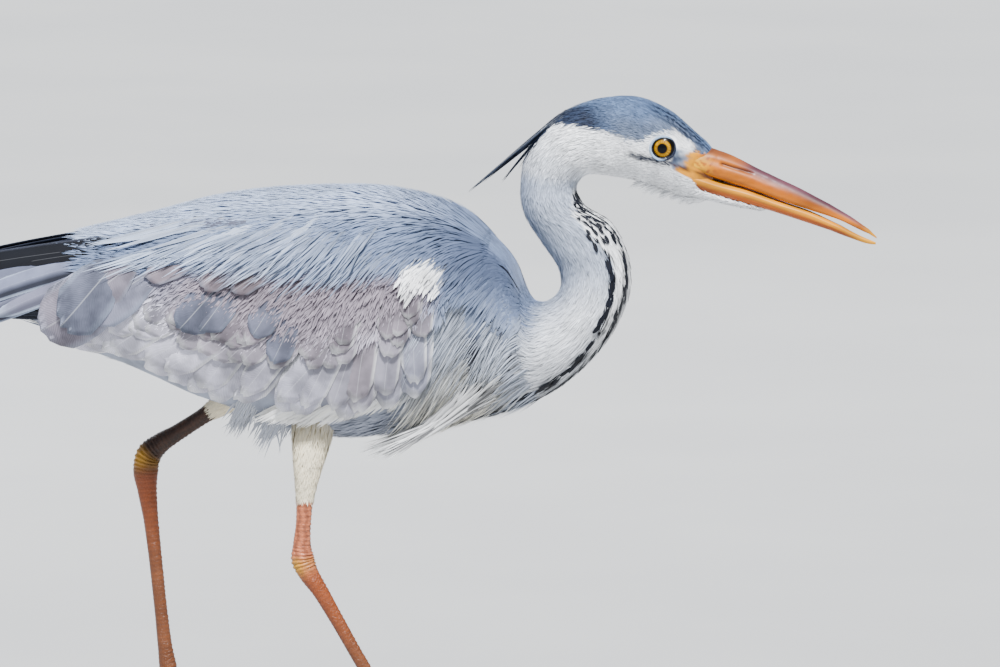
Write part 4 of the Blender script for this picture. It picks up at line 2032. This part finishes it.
    def hind_quills(self, rng: Rng) -> None:
        """Black primaries, grey tertials over them and the tail, all reaching back.

        Args:
            rng: of their irregularities.
        """
        line = np.linspace
        coat = Coat("primaries", rng)
        for root, last_root, tip, last_tip, count, width, height in self.PRIMARIES:
            spray = Spray(width, (-0.1, 1, 0.5), height - 1, height + 1, (0.6, 0.6), height / 2, 0.08,
                          sag=0.15)
            feathers = spray.flung(line(root, last_root, count), line(tip, last_tip, count), rng)
            coat.dress(feathers, self.LONG, Colour.PRIMARY, Colour.TERTIAL, 0.1, 0.22, 0.9)
        coat.build(self.finish["quill"], Slot.FLIGHT, *both("wing_primaries"))
        coat, count = Coat("tertials", rng), 9
        feathers = Spray(18, (-0.1, 1, 0.4), 4, 6, (2, 2.5), 1, 0.10, sag=0.45).flung(
            line((-104, 330), (-84, 339), count), line((-230, 37, 285), (-292, 27, 287), count), rng)
        tone = blend(Colour.TERTIAL, Colour.FAWN, rng.uniform(0, 0.5, 2 * count))
        plain = vane_tint(tone, Colour.SILVER, rng, 0.2, 0.9, 0.6)
        share = rng.uniform(0.3, 0.95, (2 * count, 1, 1))

        def two_toned(reach: Array, b: Array) -> Array:
            """The plain colour with a black inner vane."""
            return blend(plain(reach, b), Colour.PRIMARY, share * band(b, 0.05, 0.4, 0.85, 0.97))

        coat.add(feathers, self.LONG, two_toned)
        feathers = Spray(13, (-0.1, 0.8, 0.8), 8, 9, (0.5, 0.5), 3, 0.05, sag=0.2).flung(
            np.array([(-66, 355)]), np.array([(-206, 14, 327)]), rng)
        coat.dress(feathers, self.LONG, tone[:2], Colour.WHITE, 0.1, 0.9, 0.8)
        coat.build(self.finish["quill"], Slot.FLIGHT)
        coat, count = Coat("tail_feathers", rng), 6
        feathers = Spray(22, (0, 0.25, 1), 0, 1, (0.5, 0.5)).flung(
            line((-200, 306), (-206, 330), count), line((-334, 15, 298), (-338, 3, 303), count), rng)
        coat.dress(feathers, self.LONG, Colour.TAIL, Colour.NAVY, 0.05, 0.3, 0.9)
        coat.build(self.finish["quill"], Slot.FLIGHT)

    def breast(self, rng: Rng) -> None:
        """Cream strands from the neck's root back over the breast, the lowest hanging free in a lock.

        Args:
            rng: of their irregularities.
        """
        coat = Coat("breast_plumes", rng)
        s, angle, side = scatter(6.7, 8.9, 2.1, 1.6, 0.5, rng, (64, 178))
        count, spot = len(s), BODY.surface(s, angle, 0)
        height, back = spot[:, 2], smooth(95, 60, spot[:, 0])
        slope = np.radians(along([(215, 26), (250, 33), (290, 36), (335, 40)], height) + 16 * back)
        length = along([(215, 60), (300, 50), (335, 28)], height) * rng.uniform(0.65, 1.25, count)
        feathers = Feathers(
            BODY, s, angle, side, length * (1 - 0.45 * smooth(8.2, 8.9, s)), rng.uniform(0.8, 1.8, count),
            bend=rng.normal(0.08, 0.07, count), low=Layers.skin(s, angle) - 0.3,
            high=rng.uniform(1.5, 5.0, count) + 4 * back, roll=rng.normal(0, 0.2, count),
        ).aimed(slope + rng.normal(0, 0.06, count))
        feathers.turn *= smooth(math.pi - 0.1, math.pi - 0.7, angle)
        dark = 1 - smooth(0.25, 0.75, rng.random(count))
        dark = dark * along([(255, 0.9), (290, 0.5), (320, 0.3)], height)
        tone = paint(Colour.NECK, (Colour.CREAM, smooth(300, 250, height)), (Colour.BREAST, dark),
                     (Colour.NECK, smooth(8.3, 8.9, s)))
        coat.dress(feathers, self.PLUME, tone, Colour.WHITE, 0.15, 0.1, 0.6)
        count = 230
        share, drop = rng.random(count), rng.random(count)
        roots = np.stack([58 + 34 * drop + 12 * share, 228 + 18 * share + 12 * drop], -1)
        ends = self.LOCK_ENDS[np.floor(share * 5.99).astype(int)]
        tips = np.stack([ends[:, 0] + 12 * drop ** 2, 30 + 8 * drop, ends[:, 1] + 7 * drop ** 2], -1)
        lock = Spray(rng.uniform(1.2, 2.4, count), (0, 1, 0.2), 1, 7, (2.5, 1.2), 3)
        feathers = lock.flung(roots, tips, rng)
        dark = smooth(0.45, 0.8, rng.random(2 * count)) * np.tile(smooth(0.05, 0.4, drop), 2)
        tone = blend(Colour.WHITE, Colour.BREAST, 0.9 * dark)
        coat.dress(feathers, self.STRAND, tone, Colour.CREAM, 0.12, 0.1, 0.7)
        coat.build(self.finish["coat"], Slot.PLUMAGE, *both("breast_plumes"))

    def streaks(self, rng: Rng) -> None:
        """Black drop-shaped feathers in rows down the front of the neck, and a black line on each shoulder.

        Args:
            rng: of their irregularities.
        """
        row, front = Markings.STREAK_ROW, Markings.FRONT_ROW
        outer = np.concatenate([np.arange(*part) for part in (
            (14.7, 12.5, -0.19), (12.4, 10.9, -0.14), (10.75, 10.1, -0.14), (9.9, 6.7, -0.17))])
        outer = outer[(np.sin(outer * 8.3) > -0.75) | (outer < 10)]
        inner = np.arange(12.8, 8.6, -0.2)
        field_s = np.repeat(np.arange(12.85, 14.8, 0.21), 5) + rng.normal(0, 0.03, 50)
        edge = along(row, field_s) + 7
        step = (np.tile(np.arange(5), 10) + 0.5 * (np.arange(50) // 5 % 2) + rng.normal(0, 0.12, 50)) / 5
        s = np.concatenate([outer, inner, field_s])
        angle = np.concatenate([along(row, outer) + rng.normal(0, 1.5, len(outer)),
                                along(front, inner) + rng.normal(0, 2.5, len(inner)),
                                edge + (176 - edge) * step])
        s, angle = np.tile(s, 2) + rng.normal(0, 0.02, 2 * len(s)), np.radians(np.tile(angle, 2))
        count, base = len(s), Layers.skin(s, angle)
        slim = along([(8, 15), (10.5, 12), (12.4, 12), (13, 8), (15, 6.5)], s)
        feathers = Feathers(BODY, s, angle, sides(count // 2), slim * rng.uniform(0.85, 1.15, count),
                            slim * rng.uniform(0.3, 0.38, count), low=base + 0.6 + 3 * smooth(8.9, 8.2, s),
                            high=base + 1.9 + 4.5 * smooth(8.9, 8.2, s), turn=rng.normal(0, 0.12, count))
        coat = Coat("neck_streaks", rng)
        coat.dress(feathers, self.FLUFF, Colour.BLACK, Colour.NAVY, 0.15, 0.4, 0.9)
        s, angle = np.tile(np.linspace(8.95, 8.35, 7), 2), np.radians(np.tile(np.linspace(13, 24, 7), 2))
        high = Layers.relief(s, angle)
        feathers = Feathers(BODY, s, angle, sides(7), 15, 2.6, 0.38, low=high + 0.2,
                            high=high + 1.6)
        coat.dress(feathers, self.SOFT, Colour.BLACK, Colour.NAVY, 0.1, 0.4, 0.9)
        coat.build(self.finish["coat"], Slot.PLUMAGE)

    def vent(self, rng: Rng) -> None:
        """Pale fringe below the wings and loose tufts between the legs and the vent.

        Args:
            rng: of their irregularities.
        """
        coat, count = Coat("vent_tufts", rng), 260
        x = rng.uniform(-62, 44, count)
        roots = np.stack([x + 24, along(Layers.WING_EDGE, x + 24) + 7], -1)
        tips = np.stack([x - 5, rng.uniform(33, 42, count),
                         along(Layers.WING_EDGE, x) - 2.5 - 4.0 * rng.random(count)], -1)
        feathers = Spray(4.2, (0, 1, -0.3), 0, 2, (1.2, 1.0)).flung(roots, tips, rng)
        tone = blend(Colour.WHITE, Colour.CREAM, 0.5 * rng.random(2 * count))
        coat.dress(feathers, self.SOFT, tone, Colour.WHITE, 0.03, 0.3, 0.95)
        for root, tip in (((-70, 236), (-82, 20, 216)), ((-50, 232), (-62, 24, 208))):
            feathers = Spray(2.4, (-0.3, 1, 0), 0, 1, (5.0, 4.5)).flung(tiled(root, 60), tiled(tip, 60), rng)
            coat.dress(feathers, self.SOFT, Colour.BELLY, Colour.WHITE, 0.1, 0.5, 0.8)
        coat.build(self.finish["coat"], Slot.PLUMAGE, "vent_feathers")

    def crest(self, rng: Rng) -> None:
        """Dark lanceolate plumes from the rear of the crown, and a few that cling to the nape.

        Args:
            rng: of their irregularities.
        """
        coat = Coat("crest_plumes", rng)
        for root, tip, count, width in self.CRESTS:
            away = rng.random(count)
            flare = np.stack([away * 20, away * 0.2, away * 15], -1)
            tips = np.array(tip) + flare * (rng.random(count) > 0.5)[:, None]
            spray = Spray(width, (-0.5, 0.7, 0.6), -0.8, 0.3, (np.array([0.05, 0.12]), 0.3), 0.5,
                          by_place=True)
            feathers = spray.flung(tiled(root, count), tips, rng)
            tone = blend(Colour.NAVY, Colour.BLACK, rng.random(2 * count))
            coat.dress(feathers, self.STRAND, tone, Colour.CROWN, 0.1, 0.15, 0.9)
        nodes = (f"crest_plume_{name}" for name in ("long", "second", "short"))
        coat.build(self.finish["plume"], Slot.CREST, *nodes)

    def thighs(self, rng: Rng) -> None:
        """Short velvety cream feathers down to where the legs are bare.

        Args:
            rng: of their irregularities.
        """
        coat = Coat("thigh_feathers", rng)
        for leg, count in ((RIGHT_LEG, 2600), (LEFT_LEG, 1500)):
            s = (leg.thigh_end - 0.3) * np.sqrt(rng.random(count)) + 0.15
            feathers = Feathers(TubeForm(leg.rows), s, rng.uniform(-np.pi, np.pi, count), 1,
                                rng.uniform(7, 11.5, count), rng.uniform(1.5, 2.4, count),
                                turn=np.pi + rng.normal(0, 0.12, count), low=-1.2,
                                high=rng.uniform(0.1, 1.1, count), roll=rng.normal(0, 0.12, count))
            tone = blend(Colour.THIGH, Colour.BELLY, 0.6 * smooth(1.6, 0.4, s))
            coat.dress(feathers, self.SMALL, tone, Colour.WHITE, 0.06, 0.2, 0.93)
        coat.build(self.finish["coat"], Slot.PLUMAGE)

    def chin(self, rng: Rng) -> None:
        """Fine white feathers between the two sides of the lower bill, and a ragged fringe under the jaw.

        Args:
            rng: of their irregularities.
        """
        coat, count = Coat("chin_feathers", rng), 2600
        feathers = Feathers(Chin(), rng.random(count), rng.uniform(0.45 * np.pi, np.pi, count),
                            sides(count // 2), rng.uniform(3.5, 6.5, count),
                            rng.uniform(0.8, 1.3, count), turn=rng.normal(0.1, 0.3, count), low=-0.6,
                            high=rng.uniform(0.3, 1.5, count))
        coat.dress(feathers, self.SMALL, Colour.THROAT, Colour.WHITE, 0.06, 0.3, 0.9)
        count = 110
        roots = np.stack([rng.uniform(19.2, 21.9, count), rng.uniform(2.7, 3.1, count)], -1)
        drop = rng.random((count, 1)) ** 1.5
        tips = BODY.surface(roots[:, 0], roots[:, 1], 0) + [-5, 0, -1.2] + drop * [-3, 0, -3.4]
        fringe = Spray(1.9, (0, 1, -0.4), -0.4, 0.2, (0.02, 0.4), 0.3, by_place=True)
        feathers = fringe.flung(roots, tips, rng)
        coat.dress(feathers, self.SMALL, Colour.THROAT, Colour.WHITE, 0.05, 0.3, 0.9)
        coat.build(self.finish["coat"], Slot.PLUMAGE)


# ---------------------------------------------------------------- stage

@dataclass
class Studio:
    """Pale floor, soft lights and the camera, on the bird's right, a little ahead of it and above it."""

    target: tuple[float, float, float] = (0.0908, 0.0, 0.2805)
    azimuth: float = 10.0
    elevation: float = 8.0
    distance: float = 8.0
    lens: float = 440.0
    floor_half: float = 14.0
    sun: Vector = Vector((0.12, -0.62, 1.0))
    sun_power: float = 9.6
    sun_spread: float = 9.0
    rim: Vector = Vector((-0.9, 1.9, 1.3))
    rim_power: float = 16
    rim_size: float = 1.2

    def floor(self) -> None:
        """A large pale plane just under the feet, with faint unevenness."""
        half = self.floor_half
        mesh = bpy.data.meshes.new("floor")
        corners = [(-half, -half, 0), (half, -half, 0), (half, half, 0), (-half, half, 0)]
        mesh.from_pydata(corners, [], [(0, 1, 2, 3)])
        n = Dressing("floor_paper", {"Roughness": 0.85})
        tone = n.ramp(n.noise(n.where, 3.0, 4.0), 0.3, 0.7)
        n.put(n.mix(tone, (0.46, 0.46, 0.46, 1), (0.49, 0.49, 0.485, 1)), n.shader.inputs["Base Color"])
        mesh.materials.append(n.material)
        linked("floor", mesh)

    def lights(self) -> None:
        """A pale sky, a broad sun from the bird's right and a soft square lamp on its far side."""
        world = bpy.data.worlds.new("studio")
        world.use_nodes = True
        background = world.node_tree.nodes["Background"]
        Nodes(world.node_tree).fed(background, Color=(0.78, 0.87, 1.0, 1), Strength=0.5)
        bpy.context.scene.world = world
        sun = bpy.data.lights.new("key", "SUN")
        sun.energy, sun.angle, sun.color = self.sun_power, math.radians(self.sun_spread), (0.97, 0.985, 1.0)
        linked("key", sun, aim=self.sun)
        lamp = bpy.data.lights.new("rim", "AREA")
        lamp.size, lamp.energy, lamp.color = self.rim_size, self.rim_power, (0.95, 0.97, 1.0)
        linked("rim", lamp, self.rim, self.rim - Vector((0, 0, 0.25)))

    def camera(self) -> None:
        """The camera, far off behind a long lens and aimed at the middle of the bird."""
        a, e = math.radians(self.azimuth), math.radians(self.elevation)
        back = Vector((math.sin(a) * math.cos(e), -math.cos(a) * math.cos(e), math.sin(e)))
        data = bpy.data.cameras.new("camera")
        data.lens, data.sensor_width = self.lens, 36.0
        data.clip_start, data.clip_end = 0.1, 100
        bpy.context.scene.camera = linked("camera", data, Vector(self.target) + back * self.distance, back)


# ---------------------------------------------------------------- the whole bird

def main() -> None:
    """Builds the bird piece by piece, then the studio."""
    logging.basicConfig(level=logging.INFO, format="%(name)s: %(message)s")
    barbs = barb_group()
    finishes = {
        "coat": FeatherFinish("coat_feather", barbs=7, depth=0.14, sheen=0.08),
        "plume": FeatherFinish("plume_feather", barbs=30, depth=0.12, shaft=0.12, shaft_strength=0.3,
                               sheen=0.12),
        "covert": FeatherFinish("covert_feather", barbs=45, depth=0.24, shaft=0.03, shaft_strength=0.2,
                                sheen=0.06, cloud=0.34),
        "quill": FeatherFinish("quill_feather", barbs=60, depth=0.24, shaft=0.03, shaft_strength=0.05,
                               sheen=0.04, cloud=0.16),
    }
    down = SkinFinish("down_skin", scale=1500, bump=0.5, mottle=0.2).make()
    scales = SkinFinish("scaled_skin", scale=620, cells=True, bump=0.55, depth=0.0004, roughness=0.42,
                        coat=0.15, coat_roughness=0.3).make()
    face = SkinFinish("bare_face", scale=1100, bump=0.5, roughness=0.38, coat=0.15, coat_roughness=0.25,
                      mottle=0.35).make()
    horn = SkinFinish("bill_horn", scale=500, bump=0.16, depth=0.0002, roughness=0.42, coat=0.08,
                      coat_roughness=0.22, mottle=0.32, streak=(0.25, 1, 1)).make()
    nail = SkinFinish("claw_horn", bump=0.2, roughness=0.35, coat=0.2, mottle=0.25).make()
    legs = [RIGHT_LEG, LEFT_LEG]
    Skin().build([down, scales, face], legs)
    for leg in legs:
        leg.claws(nail)
    for side in Side:
        Eye(side).build(EyeFinish(f"eye_{side.end}_gloss").make())
    bill = Bill()
    bill.upper(horn)
    bill.lower(horn)
    Plumage({name: finish.make(barbs) for name, finish in finishes.items()}).build()
    studio = Studio()
    studio.floor()
    studio.lights()
    studio.camera()


if __name__ == "__main__":
    main()
